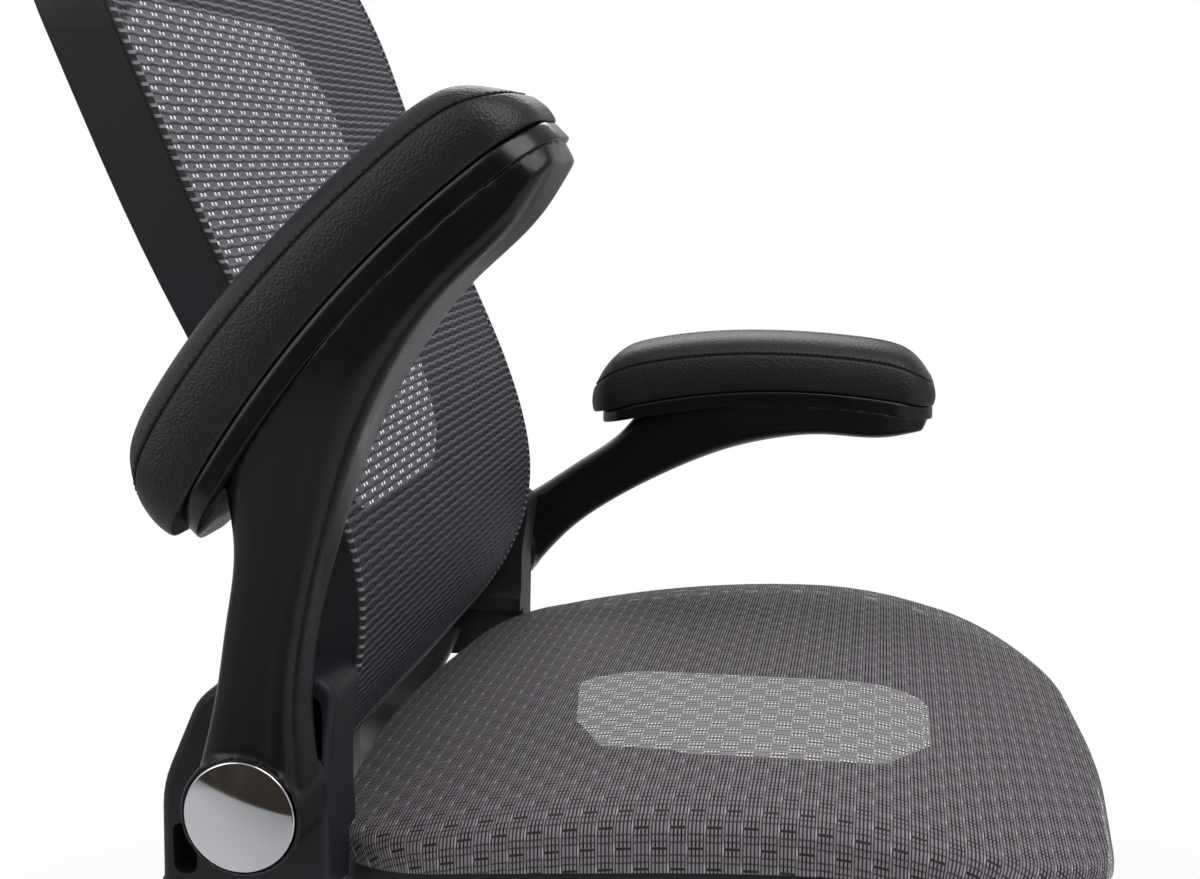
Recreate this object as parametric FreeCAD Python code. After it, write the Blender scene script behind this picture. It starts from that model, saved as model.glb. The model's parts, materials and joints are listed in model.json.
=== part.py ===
import FreeCAD, Part
import math
import os

V = FreeCAD.Vector
X_AXIS = V(1, 0, 0)
Y_AXIS = V(0, 1, 0)
Z_AXIS = V(0, 0, 1)

# All sizes in mm and degrees. The floor is z = 0, the column stands on the Z axis, the sitter faces -Y.

# Fits
RUN = 0.05            # radial clearance of a running fit
SEAT_GAP = 0.3        # gap between a soft or curved piece and what carries it
SIDE_GAP = 1.0        # gap beside a turning piece
ROOM = 1000.0         # reach of a cutting shape past the chair

# Casters
WHEEL_R = 30.0
WHEEL_W = 18.0
WHEEL_ROUND = 4.0
WHEEL_DISH_R = 22.0
WHEEL_DISH_DEPTH = 3.0
WEB_T = 7.0
CASTER_AXLE_R = 4.0
CASTER_TRAIL = 18.0
HOOD_CLEAR = 1.6
HOOD_WALL = 2.6
HOOD_SKIRT = 8.0      # lower edge of the fender above the wheel's axle
CASTER_NECK_R = 11.0
CASTER_NECK_H = 8.0   # neck above the top of the fender
STEM_R = 5.5
STEM_GRIP = 24.0
SWIVEL_GAP = 0.5

# Five-star base
LEG_COUNT = 5
LEG_FIRST_ANGLE = -90.0
LEG_REACH = 300.0
LEG_TIP_H = 31.0
LEG_TIP_HALF_W = 17.0
LEG_ROOT_HALF_W = 21.0
LEG_ROOT_H = 44.0
LEG_WALL = 4.5
LEG_EDGE_R = 5.0
LEG_BOW = 7.0         # upward bow of the leg's top line
LEG_STEP = 4.0        # hub top above the leg's root
HUB_R = 37.0
HUB_H = 62.0

# Gas lift
TUBE_R = 25.0
TUBE_WALL = 2.0
TUBE_H = 234.0
TUBE_FOOT = 12.0      # length of the tube below the hub
TUBE_FLOOR = 4.0
BUSH_H = 80.0
BUSH_FLANGE = 3.0
ROD_R = 5.0
BEARING_R = 16.0
BEARING_H = 4.0
SHOULDER_H = 4.0
CLIP_R = 9.0
CLIP_T = 3.0
LIFT_TRAVEL = 100.0
CYLINDER_R = 14.0
CYLINDER_WALL = 2.5
CYLINDER_END = 8.0
CYLINDER_LOW_GAP = 14.0
PISTON_H = 10.0
PISTON_SPARE = 4.0
CONE_TOP_R = 13.0
VALVE_R = 3.0
VALVE_PROUD = 5.5

# Tilt mechanism
HOUSING_HALF_W = 58.0
HOUSING_GAP = 10.0    # socket mouth above the bush flange
SOCKET_R = 21.0
SOCKET_NECK = 14.0    # socket below the housing floor
HOUSING_FRONT_Y = -92.0
HOUSING_REAR_Y = 78.0
HOUSING_NOSE_H = 48.0
HOUSING_TAIL_H = 7.0
HOUSING_NOSE_R = 16.0
TILT_Y = -62.0
TILT_H = 32.0         # tilt shaft above the housing floor
SHAFT_R = 7.0
EAR_T = 4.0
EAR_R = 15.0
PLATE_H = 54.0        # underside of the top plate above the housing floor
PLATE_T = 4.0
PLATE_HALF_W = 62.0
PLATE_ROUND = 10.0
SPRING_WIRE_R = 2.0
SPRING_TURNS = 5
SPRING_LENGTH = 60.0
CHANNEL_H = 16.0      # floor of the lever channel above the housing floor
CHANNEL_HALF_W = 9.0
CHANNEL_END_X = 24.0
LEVER_H = 27.0        # lever's axis above the housing floor
LEVER_R = 3.8
LEVER_PIVOT_X = -50.0
LEVER_PIN_R = 2.0
LEVER_END_X = -236.0
LEVER_TIP_X = 18.0
PADDLE_L = 62.0
PADDLE_W = 30.0
PADDLE_T = 8.0
SLIDER_L = 20.0
SLIDER_HALF_W = 8.0
SLIDER_BORE = 5.0
SLIDER_WALL = 2.0
KNOB_Y = -66.0
KNOB_R = 26.0
KNOB_H = 30.0
KNOB_GAP = 12.0
KNOB_LOBES = 8
KNOB_LOBE_R = 6.0
TENSION_BOLT_R = 5.0
TENSION_BOLT_IN = 10.0

# Seat
SEAT_HALF_W = 247.0
SEAT_REAR_Y = 230.0
SEAT_REAR_CORNER_Y = 202.0
SEAT_FRONT_Y = -236.0
SEAT_FRONT_CORNER_Y = -220.0
SEAT_REAR_R = 75.0
SEAT_FRONT_R = 115.0
SEAT_BOW_R = 800.0
SEAT_TOP_Z = 470.0
SEAT_CREST_Y = -45.0
SEAT_REAR_FALL = 47.0
SEAT_FRONT_FALL = 62.0
SEAT_SIDE_FALL = 26.0
SEAT_SIDE_POWER = 8
SEAT_MESH_T = 3.0
# side view of the mesh's lower edge: (y, z)
SEAT_HEM = [(240.0, 410.0), (60.0, 424.0), (-105.0, 431.0), (-190.0, 419.0), (-250.0, 391.0)]
PAN_RIM_BELOW = 12.0
PAN_RIM_W = 42.0
PAN_DECK_Z = 430.0
PAN_DECK_T = 5.0
PAN_OPEN_HALF_W = 105.0
PAN_OPEN_REAR_Y = 116.0
PAN_OPEN_FRONT_Y = -130.0
PAN_OPEN_R = 60.0
BOSS_R = 13.0
BOSS_TAPER = 4.0
BOSS_X = 106.0
BOSS_REAR_Y = 134.0
BOSS_FRONT_Y = -154.0
BOLT_R = 4.0
BOLT_HEAD_R = 7.0
BOLT_HEAD_H = 5.0
SEAT_BOLT_GRIP = 26.0

# Arm axis, the reference of the back and the arms
ARM_AXIS_Y = 215.0
ARM_AXIS_Z = 470.0

# Back, as (y, z) and (x, z) from the arm axis
BACK_FRONT_LINE = [(18.0, -44.0), (-22.0, 16.0), (-36.5, 85.0), (-27.5, 134.0), (30.0, 268.0),
                   (81.0, 400.0), (127.0, 512.0)]
BACK_HALF_FOOT = 219.0
BACK_HALF_WAIST = 221.0
BACK_HALF_TOP = 251.0
BACK_FOOT_Z = -36.0
BACK_WAIST_Z = 120.0
BACK_SHOULDER_Z = 490.0
BACK_TOP_Z = 500.0
BACK_FOOT_R = 22.0
BACK_MESH_FOOT_R = 58.0
BACK_MESH_FOOT_Z = -16.0
BACK_WAIST_R = 800.0
BACK_SHOULDER_R = 100.0
BACK_TOP_R = 1500.0
BACK_DEPTH = 37.0
BACK_WALL = 5.0
BACK_SHEET_T = 2.5
EDGING_W = 6.0
WINDOW_FOOT_Z = 106.0
WINDOW_HALF_FOOT = 112.0
WINDOW_FOOT_R = 60.0
WINDOW_TOP_Z = 412.0
WINDOW_HALF_TOP = 212.0
WINDOW_TOP_R = 80.0
# (y, z, radius) of each corner of the bracket that carries an arm, seen from the side
HOUSING_CORNERS = [(65.0, -75.0, 16.0), (63.0, -6.0, 60.0), (38.0, 50.0, 30.0), (-37.0, 60.0, 13.0),
                   (-30.0, 12.0, 60.0), (-28.0, -75.0, 16.0)]
# rear, front, bottom, top and corner radius of each pocket in the bracket's outer face
HOUSING_POCKETS = [(-9.0, -27.0, 10.0, 48.0, 7.0), (57.0, 44.0, -54.0, -26.0, 5.0)]
HOUSING_POCKET_DEPTH = 14.0
HOUSING_OUT_X = 262.0
ARM_AXLE_R = 10.0
ARM_AXLE_IN = 34.0    # axle inside the housing

# Arms, as (y, z) from the arm axis with the arm down
ARM_PLANE_X = 288.0
ARM_HUB_R = 31.5
ARM_HUB_W = 46.0
ARM_BUSH_T = 3.0
ARM_RAISED = 45.3     # how far the right arm is flipped up at rest
CAP_R = 29.0
CAP_T = 7.0
CAP_DOME = 2.5
CAP_SEAT = 4.0
# top point, bottom point and width of each section along the arm
ARM_SECTIONS = [((7.0, 29.0), (-30.0, -12.0), 44.0),
                ((-31.0, 51.0), (-60.0, 20.0), 40.0),
                ((-65.0, 74.0), (-98.0, 47.0), 42.0),
                ((-98.0, 98.0), (-140.0, 70.0), 50.0),
                ((-135.0, 134.0), (-186.0, 90.0), 64.0),
                ((-200.0, 142.0), (-232.0, 102.0), 75.0),
                ((-262.0, 140.0), (-270.0, 105.0), 77.0),
                ((-312.0, 134.0), (-310.0, 104.0), 76.0),
                ((-346.0, 128.0), (-339.0, 110.0), 70.0)]
ARM_EDGE_R = 7.0
TRAY_LINE = [(-84.0, 109.0), (-215.0, 129.0), (-358.0, 116.5)]
PAD_LINE = [(-84.0, 119.0), (-215.0, 140.0), (-358.0, 126.5)]
TRAY_W = 78.0
TRAY_REAR_Y = -86.0
TRAY_FRONT_Y = -348.0
TRAY_END_R = 30.0
# y, top and half width of each section along the pad
PAD_SECTIONS = [(-72.0, 146.0, 24.0), (-92.0, 165.0, 35.0), (-130.0, 177.0, 40.0), (-210.0, 184.0, 41.5),
                (-290.0, 180.0, 41.0), (-332.0, 169.0, 36.0), (-350.0, 153.0, 22.0)]
PAD_BULGE = 3.0
PAD_CROWN = 9.0
PAD_ROOT = 20.0       # depth of the pad's sections below its seam, cut off at the tray

# Back yoke: plan of the upright's top, under the back's foot, then the centre of each section
# down to the middle of the crossbar
YOKE_TOP = (206.0, 252.0)
YOKE_PATH = [(206.0, 271.0, 395.0), (200.0, 287.0, 360.0), (172.0, 288.0, 337.0),
             (110.0, 268.0, 331.0), (50.0, 246.0, 338.0), (0.0, 240.0, 341.0)]
YOKE_DEPTH = 48.0
YOKE_T = 28.0
YOKE_EDGE_R = 8.0
# y, bottom above the top plate, height and half width of each section of the yoke's tongue
TONGUE_SECTIONS = [(254.0, -51.0, 26.0, 54.0), (216.0, -42.0, 26.0, 46.0), (184.0, -18.0, 20.0, 40.0),
                   (154.0, 0.0, 12.0, 38.0)]
TONGUE_FRONT_Y = 34.0
TONGUE_T = 12.0
YOKE_BOLT_X = 24.0
YOKE_BOLT_Y = (52.0, 90.0)
YOKE_BOLT_GRIP = 9.6
SPIGOT_X = 205.0
SPIGOT_Y = 242.0
SPIGOT_W = 16.0
SPIGOT_D = 14.0
SPIGOT_H = 20.0
BACK_BOLT_R = 3.0
BACK_BOLT_HEAD_R = 5.5
BACK_BOLT_HEAD_H = 3.0

# Heights that follow from the sizes above
FENDER_R = WHEEL_R + HOOD_CLEAR + HOOD_WALL
CASTER_TOP_Z = WHEEL_R + FENDER_R + CASTER_NECK_H
LEG_TIP_Z = CASTER_TOP_Z + SWIVEL_GAP
HUB_Z = LEG_TIP_Z - 2 * SWIVEL_GAP
TUBE_Z = HUB_Z - TUBE_FOOT
TUBE_TOP_Z = TUBE_Z + TUBE_H
BEARING_Z = TUBE_Z + TUBE_FLOOR
CYLINDER_Z = BEARING_Z + BEARING_H + SHOULDER_H + CYLINDER_LOW_GAP
SOCKET_Z = TUBE_TOP_Z + BUSH_FLANGE + HOUSING_GAP
FLOOR_Z = SOCKET_Z + SOCKET_NECK
CYLINDER_TOP_Z = FLOOR_Z + CHANNEL_H
TILT_Z = FLOOR_Z + TILT_H
LEVER_Z = FLOOR_Z + LEVER_H
PLATE_Z = FLOOR_Z + PLATE_H
PLATE_TOP_Z = PLATE_Z + PLATE_T


def rounded_wire(corners, place):
    """Closed wire through corners given as (a, b, radius); place turns (a, b) into a point."""
    points = [place(a, b) for a, b, _ in corners]
    starts, ends, arcs = [], [], []
    for i, (_, _, radius) in enumerate(corners):
        corner = points[i]
        before = (points[i - 1] - corner).normalize()
        after = (points[(i + 1) % len(points)] - corner).normalize()
        half = before.getAngle(after) / 2
        run = radius / math.tan(half)
        inward = (before + after).normalize()
        centre = corner + inward * (radius / math.sin(half))
        starts.append(corner + before * run)
        ends.append(corner + after * run)
        arcs.append(Part.Arc(starts[i], centre - inward * radius, ends[i]).toShape())
    edges = []
    for i, arc in enumerate(arcs):
        edges.append(arc)
        edges.append(Part.LineSegment(ends[i], starts[(i + 1) % len(points)]).toShape())
    return Part.Wire(edges)


def on_plan(x, y):
    return V(x, y, 0)


def on_side(y, z):
    return V(0, y, z)


def from_arm_axis(y, z):
    return V(0, ARM_AXIS_Y + y, ARM_AXIS_Z + z)


def back_front(x, z):
    return V(x, 0, ARM_AXIS_Z + z)


def prism(wire, start, travel):
    face = Part.Face(wire)
    face.translate(start)
    return face.extrude(travel)


def cylinder_z(radius, z0, z1, x=0.0, y=0.0):
    return Part.makeCylinder(radius, z1 - z0, V(x, y, z0))


def cylinder_x(radius, x0, x1, y, z):
    return Part.makeCylinder(radius, x1 - x0, V(x0, y, z), X_AXIS)


def cylinder_y(radius, y0, y1, x, z):
    return Part.makeCylinder(radius, y1 - y0, V(x, y0, z), Y_AXIS)


def tube_z(outer, inner, z0, z1):
    return cylinder_z(outer, z0, z1).cut(cylinder_z(inner, z0, z1))


def block(x0, x1, y0, y1, z0, z1):
    return Part.makeBox(x1 - x0, y1 - y0, z1 - z0, V(x0, y0, z0))


def spline_edge(points):
    curve = Part.BSplineCurve()
    curve.interpolate(points)
    return curve.toShape()


def section_wire(centre, across, up, half_across, half_up, radius):
    """Rounded rectangle round a centre, in the plane of two unit vectors."""
    corners = [(-half_across, -half_up, radius), (half_across, -half_up, radius),
               (half_across, half_up, radius), (-half_across, half_up, radius)]
    return rounded_wire(corners, lambda a, b: centre + across * a + up * b)


def mirrored(shape):
    return shape.mirror(V(0, 0, 0), X_AXIS)


def save(name, shape):
    shape.exportStep("parts/" + name + ".step")


def leg_outline(half_root, half_tip):
    """Plan of one leg along +X: a taper with a round tip."""
    end = LEG_REACH + half_tip
    corners = [(0, -half_root, 1.0), (end, -half_tip, half_tip * 0.9),
               (end, half_tip, half_tip * 0.9), (0, half_root, 1.0)]
    return rounded_wire(corners, on_plan)


def leg_section(share, wall):
    """Rounded section of a leg, a share of the way from the axis to the tip, drawn in by wall."""
    reach = LEG_REACH + LEG_TIP_HALF_W + 1
    low = HUB_Z + HUB_H - LEG_ROOT_H + share * (LEG_TIP_Z - HUB_Z - HUB_H + LEG_ROOT_H)
    top = HUB_Z + HUB_H - LEG_STEP + share * (LEG_TIP_Z + LEG_TIP_H - HUB_Z - HUB_H + LEG_STEP)
    top += 4 * LEG_BOW * share * (1 - share) - wall
    half = LEG_ROOT_HALF_W + share * (LEG_TIP_HALF_W - LEG_ROOT_HALF_W) - wall
    centre = V(reach * share, 0, (top + low) / 2)
    return section_wire(centre, Y_AXIS, Z_AXIS, half, (top - low) / 2, LEG_EDGE_R)


def leg_loft(wall):
    return Part.makeLoft([leg_section(share, wall) for share in (0.0, 0.5, 1.0)], True, False)


def base_leg():
    top = Z_AXIS * (HUB_Z + 2 * HUB_H)
    leg = leg_loft(0).common(prism(leg_outline(2 * LEG_ROOT_HALF_W, LEG_TIP_HALF_W), V(0, 0, 0), top))
    socket_start = LEG_REACH - LEG_TIP_HALF_W - LEG_WALL
    room = block(HUB_R + LEG_WALL, socket_start, -LEG_ROOT_HALF_W, LEG_ROOT_HALF_W, 0, HUB_Z + HUB_H)
    hollow = leg_loft(LEG_WALL)
    sunk = hollow.copy()
    sunk.translate(Z_AXIS * -LEG_TIP_H / 2)
    bore = cylinder_z(STEM_R + RUN, LEG_TIP_Z - 1, LEG_TIP_Z + STEM_GRIP + SWIVEL_GAP, LEG_REACH)
    return leg.cut(hollow.common(room)).cut(sunk.common(room)).cut(bore)


def leg_angles():
    return [LEG_FIRST_ANGLE + 360.0 / LEG_COUNT * i for i in range(LEG_COUNT)]


def star_base():
    leg = base_leg()
    hub = cylinder_z(HUB_R, HUB_Z, HUB_Z + HUB_H)
    leg = leg.cut(cylinder_z(HUB_R - LEG_WALL / 2, 0, HUB_Z + 2 * HUB_H))
    legs = []
    for angle in leg_angles():
        copy = leg.copy()
        copy.rotate(V(0, 0, 0), Z_AXIS, angle)
        legs.append(copy)
    bore = cylinder_z(TUBE_R, HUB_Z - 1, HUB_Z + HUB_H + 50)
    return hub.fuse(legs).removeSplitter().cut(bore)


def caster_hood():
    """Twin-wheel hood round the axle, with the stem CASTER_TRAIL in front of it."""
    half_w = WEB_T / 2 + SIDE_GAP + WHEEL_W + HOOD_CLEAR
    drum = cylinder_x(FENDER_R, -half_w, half_w, 0, WHEEL_R)
    fender = drum.common(block(-half_w, half_w, -2 * WHEEL_R, 2 * WHEEL_R, WHEEL_R + HOOD_SKIRT, 4 * WHEEL_R))
    web = cylinder_x(FENDER_R, -WEB_T / 2, WEB_T / 2, 0, WHEEL_R)
    web = web.common(block(-half_w, half_w, -2 * WHEEL_R, 2 * WHEEL_R, WHEEL_R / 2, 4 * WHEEL_R))
    neck = cylinder_z(CASTER_NECK_R, WHEEL_R + HOOD_SKIRT, CASTER_TOP_Z, 0, -CASTER_TRAIL)
    room_r = WHEEL_R + HOOD_CLEAR
    rooms = [cylinder_x(room_r, WEB_T / 2, 2 * half_w, 0, WHEEL_R)]
    rooms.append(mirrored(rooms[0]))
    hood = fender.fuse([neck]).cut(rooms[0]).cut(rooms[1]).fuse(web).removeSplitter()
    axle_bore = cylinder_x(CASTER_AXLE_R, -WEB_T, WEB_T, 0, WHEEL_R)
    stem_bore = cylinder_z(STEM_R, CASTER_TOP_Z - CASTER_NECK_H, CASTER_TOP_Z + 1, 0, -CASTER_TRAIL)
    return hood.cut(axle_bore).cut(stem_bore)


def caster_pins():
    stem = cylinder_z(STEM_R, CASTER_TOP_Z - CASTER_NECK_H, LEG_TIP_Z + STEM_GRIP, 0, -CASTER_TRAIL)
    reach = WEB_T / 2 + SIDE_GAP + WHEEL_W * 0.75
    axle = cylinder_x(CASTER_AXLE_R, -reach, reach, 0, WHEEL_R)
    return Part.makeCompound([stem, axle])


def caster_wheel():
    """Wheel on the +X side: a rounded tread with a dished outer face and a blind bore."""
    x0 = WEB_T / 2 + SIDE_GAP
    x1 = x0 + WHEEL_W
    wheel = cylinder_x(WHEEL_R, x0, x1, 0, WHEEL_R)
    wheel = wheel.makeFillet(WHEEL_ROUND, [e for e in wheel.Edges if abs(e.CenterOfMass.x - x1) < 0.1])
    dish = Part.makeCone(WHEEL_DISH_R - WHEEL_DISH_DEPTH, WHEEL_DISH_R, WHEEL_DISH_DEPTH,
                         V(x1 - WHEEL_DISH_DEPTH, 0, WHEEL_R), X_AXIS)
    bore = cylinder_x(CASTER_AXLE_R + RUN, x0 - 1, x0 + WHEEL_W * 0.75 + SWIVEL_GAP, 0, WHEEL_R)
    return wheel.cut(dish).cut(bore)


def save_casters():
    pieces = {"hood": caster_hood(), "pins": caster_pins(),
              "wheel_left": caster_wheel(), "wheel_right": mirrored(caster_wheel())}
    for number, angle in enumerate(leg_angles(), 1):
        turn = math.radians(angle)
        stem = V(LEG_REACH * math.cos(turn), LEG_REACH * math.sin(turn), 0)
        for name, shape in pieces.items():
            copy = shape.copy()
            copy.translate(stem + Y_AXIS * CASTER_TRAIL)
            save("caster_%d_%s" % (number, name), copy)


def column_tube():
    tube = tube_z(TUBE_R, TUBE_R - TUBE_WALL, TUBE_Z, TUBE_TOP_Z)
    floor = tube_z(TUBE_R - TUBE_WALL, ROD_R + RUN, TUBE_Z, TUBE_Z + TUBE_FLOOR)
    return tube.fuse(floor).removeSplitter()


def column_bush():
    sleeve = tube_z(TUBE_R - TUBE_WALL, CYLINDER_R + RUN, TUBE_TOP_Z - BUSH_H, TUBE_TOP_Z)
    flange = tube_z(TUBE_R, CYLINDER_R + RUN, TUBE_TOP_Z, TUBE_TOP_Z + BUSH_FLANGE)
    return sleeve.fuse(flange).removeSplitter()


def thrust_bearing():
    return tube_z(BEARING_R, ROD_R + RUN, BEARING_Z, BEARING_Z + BEARING_H)


def piston_bottom_z():
    return CYLINDER_Z + CYLINDER_END + LIFT_TRAVEL + PISTON_SPARE


def piston_rod():
    shoulder_z = BEARING_Z + BEARING_H
    rod = cylinder_z(ROD_R, TUBE_Z - CLIP_T - 2, piston_bottom_z())
    shoulder = cylinder_z(BEARING_R, shoulder_z, shoulder_z + SHOULDER_H)
    piston_r = CYLINDER_R - CYLINDER_WALL - RUN
    piston = cylinder_z(piston_r, piston_bottom_z(), piston_bottom_z() + PISTON_H)
    return rod.fuse([shoulder, piston]).removeSplitter()


def rod_retainer():
    return tube_z(CLIP_R, ROD_R, TUBE_Z - CLIP_T, TUBE_Z)


def gas_cylinder():
    body = cylinder_z(CYLINDER_R, CYLINDER_Z, SOCKET_Z)
    cone = Part.makeCone(CYLINDER_R, CONE_TOP_R, CYLINDER_TOP_Z - SOCKET_Z, V(0, 0, SOCKET_Z))
    inside = cylinder_z(CYLINDER_R - CYLINDER_WALL, CYLINDER_Z + CYLINDER_END, SOCKET_Z - CYLINDER_END)
    rod_hole = cylinder_z(ROD_R + RUN, CYLINDER_Z - 1, CYLINDER_Z + CYLINDER_END)
    valve_hole = cylinder_z(VALVE_R + RUN, SOCKET_Z - CYLINDER_END, CYLINDER_TOP_Z)
    return body.fuse(cone).removeSplitter().cut(inside).cut(rod_hole).cut(valve_hole)


def valve_button():
    return cylinder_z(VALVE_R, SOCKET_Z, CYLINDER_TOP_Z + VALVE_PROUD)


def spring_room_r():
    return SHAFT_R + 2 * SPRING_WIRE_R + 4 * SEAT_GAP


def mechanism_housing():
    corners = [(HOUSING_FRONT_Y, FLOOR_Z, 8.0), (HOUSING_REAR_Y, FLOOR_Z, 4.0),
               (HOUSING_REAR_Y, FLOOR_Z + HOUSING_TAIL_H, 3.0),
               (TILT_Y + 6, FLOOR_Z + HOUSING_NOSE_H, HOUSING_NOSE_R),
               (HOUSING_FRONT_Y, FLOOR_Z + HOUSING_NOSE_H, HOUSING_NOSE_R * 0.8)]
    body = prism(rounded_wire(corners, on_side), V(-HOUSING_HALF_W, 0, 0), X_AXIS * 2 * HOUSING_HALF_W)
    body = body.fuse(cylinder_z(SOCKET_R, SOCKET_Z, FLOOR_Z + 1)).removeSplitter()
    cone = Part.makeCone(CYLINDER_R, CONE_TOP_R, CYLINDER_TOP_Z - SOCKET_Z, V(0, 0, SOCKET_Z))
    channel = block(-HOUSING_HALF_W - 1, CHANNEL_END_X, -CHANNEL_HALF_W, CHANNEL_HALF_W,
                    CYLINDER_TOP_Z, FLOOR_Z + HOUSING_NOSE_H)
    shaft = cylinder_x(SHAFT_R, -HOUSING_HALF_W - 1, HOUSING_HALF_W + 1, TILT_Y, TILT_Z)
    room = cylinder_x(spring_room_r(), -SPRING_LENGTH / 2, SPRING_LENGTH / 2, TILT_Y, TILT_Z)
    bolt = cylinder_z(TENSION_BOLT_R + RUN, FLOOR_Z - 1, FLOOR_Z + TENSION_BOLT_IN + SIDE_GAP, 0, KNOB_Y)
    return body.cut([cone, channel, shaft, room, bolt])


def tilt_shaft():
    reach = HOUSING_HALF_W + SIDE_GAP + EAR_T + SIDE_GAP
    return cylinder_x(SHAFT_R, -reach, reach, TILT_Y, TILT_Z)


def arc_from(start, tangent, end):
    """Arc that leaves start along tangent and ends at end."""
    chord = end - start
    along = V(chord).normalize()
    side = tangent - along * tangent.dot(along)
    sagitta = chord.Length / 2 * math.tan(tangent.getAngle(along) / 2)
    return Part.Arc(start, start + chord * 0.5 + side.normalize() * sagitta, end).toShape()


def helix_point(radius, pitch, turn):
    angle = 2 * math.pi * turn
    point = V(pitch * turn, radius * math.cos(angle), radius * math.sin(angle))
    slope = V(pitch / (2 * math.pi), -radius * math.sin(angle), radius * math.cos(angle))
    return point, slope.normalize()


def helix_wire(radius, pitch, turns):
    """Helix along +X from quarter turns, each a pair of tangent arcs."""
    edges = []
    for quarter in range(4 * turns):
        p0, t0 = helix_point(radius, pitch, quarter / 4)
        p1, t1 = helix_point(radius, pitch, (quarter + 1) / 4)
        across = p1 - p0
        total = across.dot(t0 + t1)
        spread = 2 * (1 - t0.dot(t1))
        reach = (math.sqrt(total ** 2 + spread * across.dot(across)) - total) / spread
        joint = (p0 + p1 + (t0 - t1) * reach) * 0.5
        middle = ((joint - p0) - t0 * reach).normalize()
        edges.append(arc_from(p0, t0, joint))
        edges.append(arc_from(joint, middle, p1))
    return Part.Wire(edges)


def tension_spring():
    mean_r = SHAFT_R + SPRING_WIRE_R + 2 * SEAT_GAP
    pitch = (SPRING_LENGTH - 2 * SPRING_WIRE_R - 2 * SEAT_GAP) / SPRING_TURNS
    print("tension spring: gap between turns %.2f mm" % (pitch - 2 * SPRING_WIRE_R))
    path = helix_wire(mean_r, pitch, SPRING_TURNS)
    start, tangent = helix_point(mean_r, pitch, 0)
    ring = Part.Wire(Part.Circle(start, tangent, SPRING_WIRE_R).toShape())
    spring = path.makePipeShell([ring], True, False)
    spring.translate(V(-pitch * SPRING_TURNS / 2, TILT_Y, TILT_Z))
    return spring


def plate_corners():
    rear, front = BOSS_REAR_Y + BOSS_R, BOSS_FRONT_Y - BOSS_R
    half = BOSS_X + BOSS_R
    right = [(half, rear), (half, rear - 2 * BOSS_R), (PLATE_HALF_W + EAR_T, rear - 4 * BOSS_R),
             (PLATE_HALF_W + EAR_T, front + 5 * BOSS_R), (half, front + 2 * BOSS_R), (half, front)]
    left = [(-x, y) for x, y in reversed(right)]
    return [(x, y, PLATE_ROUND) for x, y in right + left]


def mechanism_top_plate():
    plate = prism(rounded_wire(plate_corners(), on_plan), Z_AXIS * PLATE_Z, Z_AXIS * PLATE_T)
    x0 = HOUSING_HALF_W + SIDE_GAP
    ear = cylinder_x(EAR_R, x0, x0 + EAR_T, TILT_Y, TILT_Z)
    ear = ear.fuse(block(x0, x0 + EAR_T, TILT_Y - EAR_R, TILT_Y + EAR_R, TILT_Z, PLATE_Z))
    ear = ear.cut(cylinder_x(SHAFT_R + RUN, 0, 2 * x0, TILT_Y, TILT_Z))
    plate = plate.fuse([ear, mirrored(ear)]).removeSplitter()
    places = boss_places() + yoke_bolt_places()
    holes = [cylinder_z(BOLT_R, PLATE_Z - 1, PLATE_TOP_Z + 1, x, y) for x, y in places]
    return plate.cut(holes)


def boss_places():
    return [(x, y) for x in (-BOSS_X, BOSS_X) for y in (BOSS_FRONT_Y, BOSS_REAR_Y)]


def yoke_bolt_places():
    return [(x, y) for x in (-YOKE_BOLT_X, YOKE_BOLT_X) for y in YOKE_BOLT_Y]


def height_lever():
    rod = cylinder_x(LEVER_R, LEVER_END_X, LEVER_TIP_X, 0, LEVER_Z)
    pin = cylinder_y(LEVER_PIN_R, -SLIDER_HALF_W, SLIDER_HALF_W, LEVER_PIVOT_X, LEVER_Z)
    return rod.fuse(pin).removeSplitter()


def lever_paddle():
    grip = LEVER_END_X + PADDLE_L * 0.4
    corners = [(grip - PADDLE_L, -PADDLE_W / 2, PADDLE_W * 0.4), (grip, -PADDLE_W * 0.3, PADDLE_W * 0.2),
               (grip, PADDLE_W * 0.3, PADDLE_W * 0.2), (grip - PADDLE_L, PADDLE_W / 2, PADDLE_W * 0.4)]
    height = PADDLE_T + LEVER_R
    paddle = prism(rounded_wire(corners, on_plan), Z_AXIS * (LEVER_Z - height / 2), Z_AXIS * height)
    top = [e for e in paddle.Edges if abs(e.CenterOfMass.z - LEVER_Z) > height / 2 - 0.1]
    paddle = paddle.makeFillet(height * 0.3, top)
    return paddle.cut(cylinder_x(LEVER_R, LEVER_END_X, grip + 1, 0, LEVER_Z))


def lock_slider():
    half = SLIDER_BORE + SLIDER_WALL
    body = block(LEVER_PIVOT_X - SLIDER_L / 2, LEVER_PIVOT_X + SLIDER_L / 2, -SLIDER_HALF_W, SLIDER_HALF_W,
                 CYLINDER_TOP_Z + SEAT_GAP, LEVER_Z + half)
    slot = block(LEVER_PIVOT_X - SLIDER_L, LEVER_PIVOT_X + SLIDER_L, -SLIDER_BORE, SLIDER_BORE,
                 LEVER_Z - SLIDER_BORE, LEVER_Z + SLIDER_BORE)
    pin = cylinder_y(LEVER_PIN_R + RUN, -2 * SLIDER_HALF_W, 2 * SLIDER_HALF_W, LEVER_PIVOT_X, LEVER_Z)
    return body.cut(slot).cut(pin)


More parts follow.
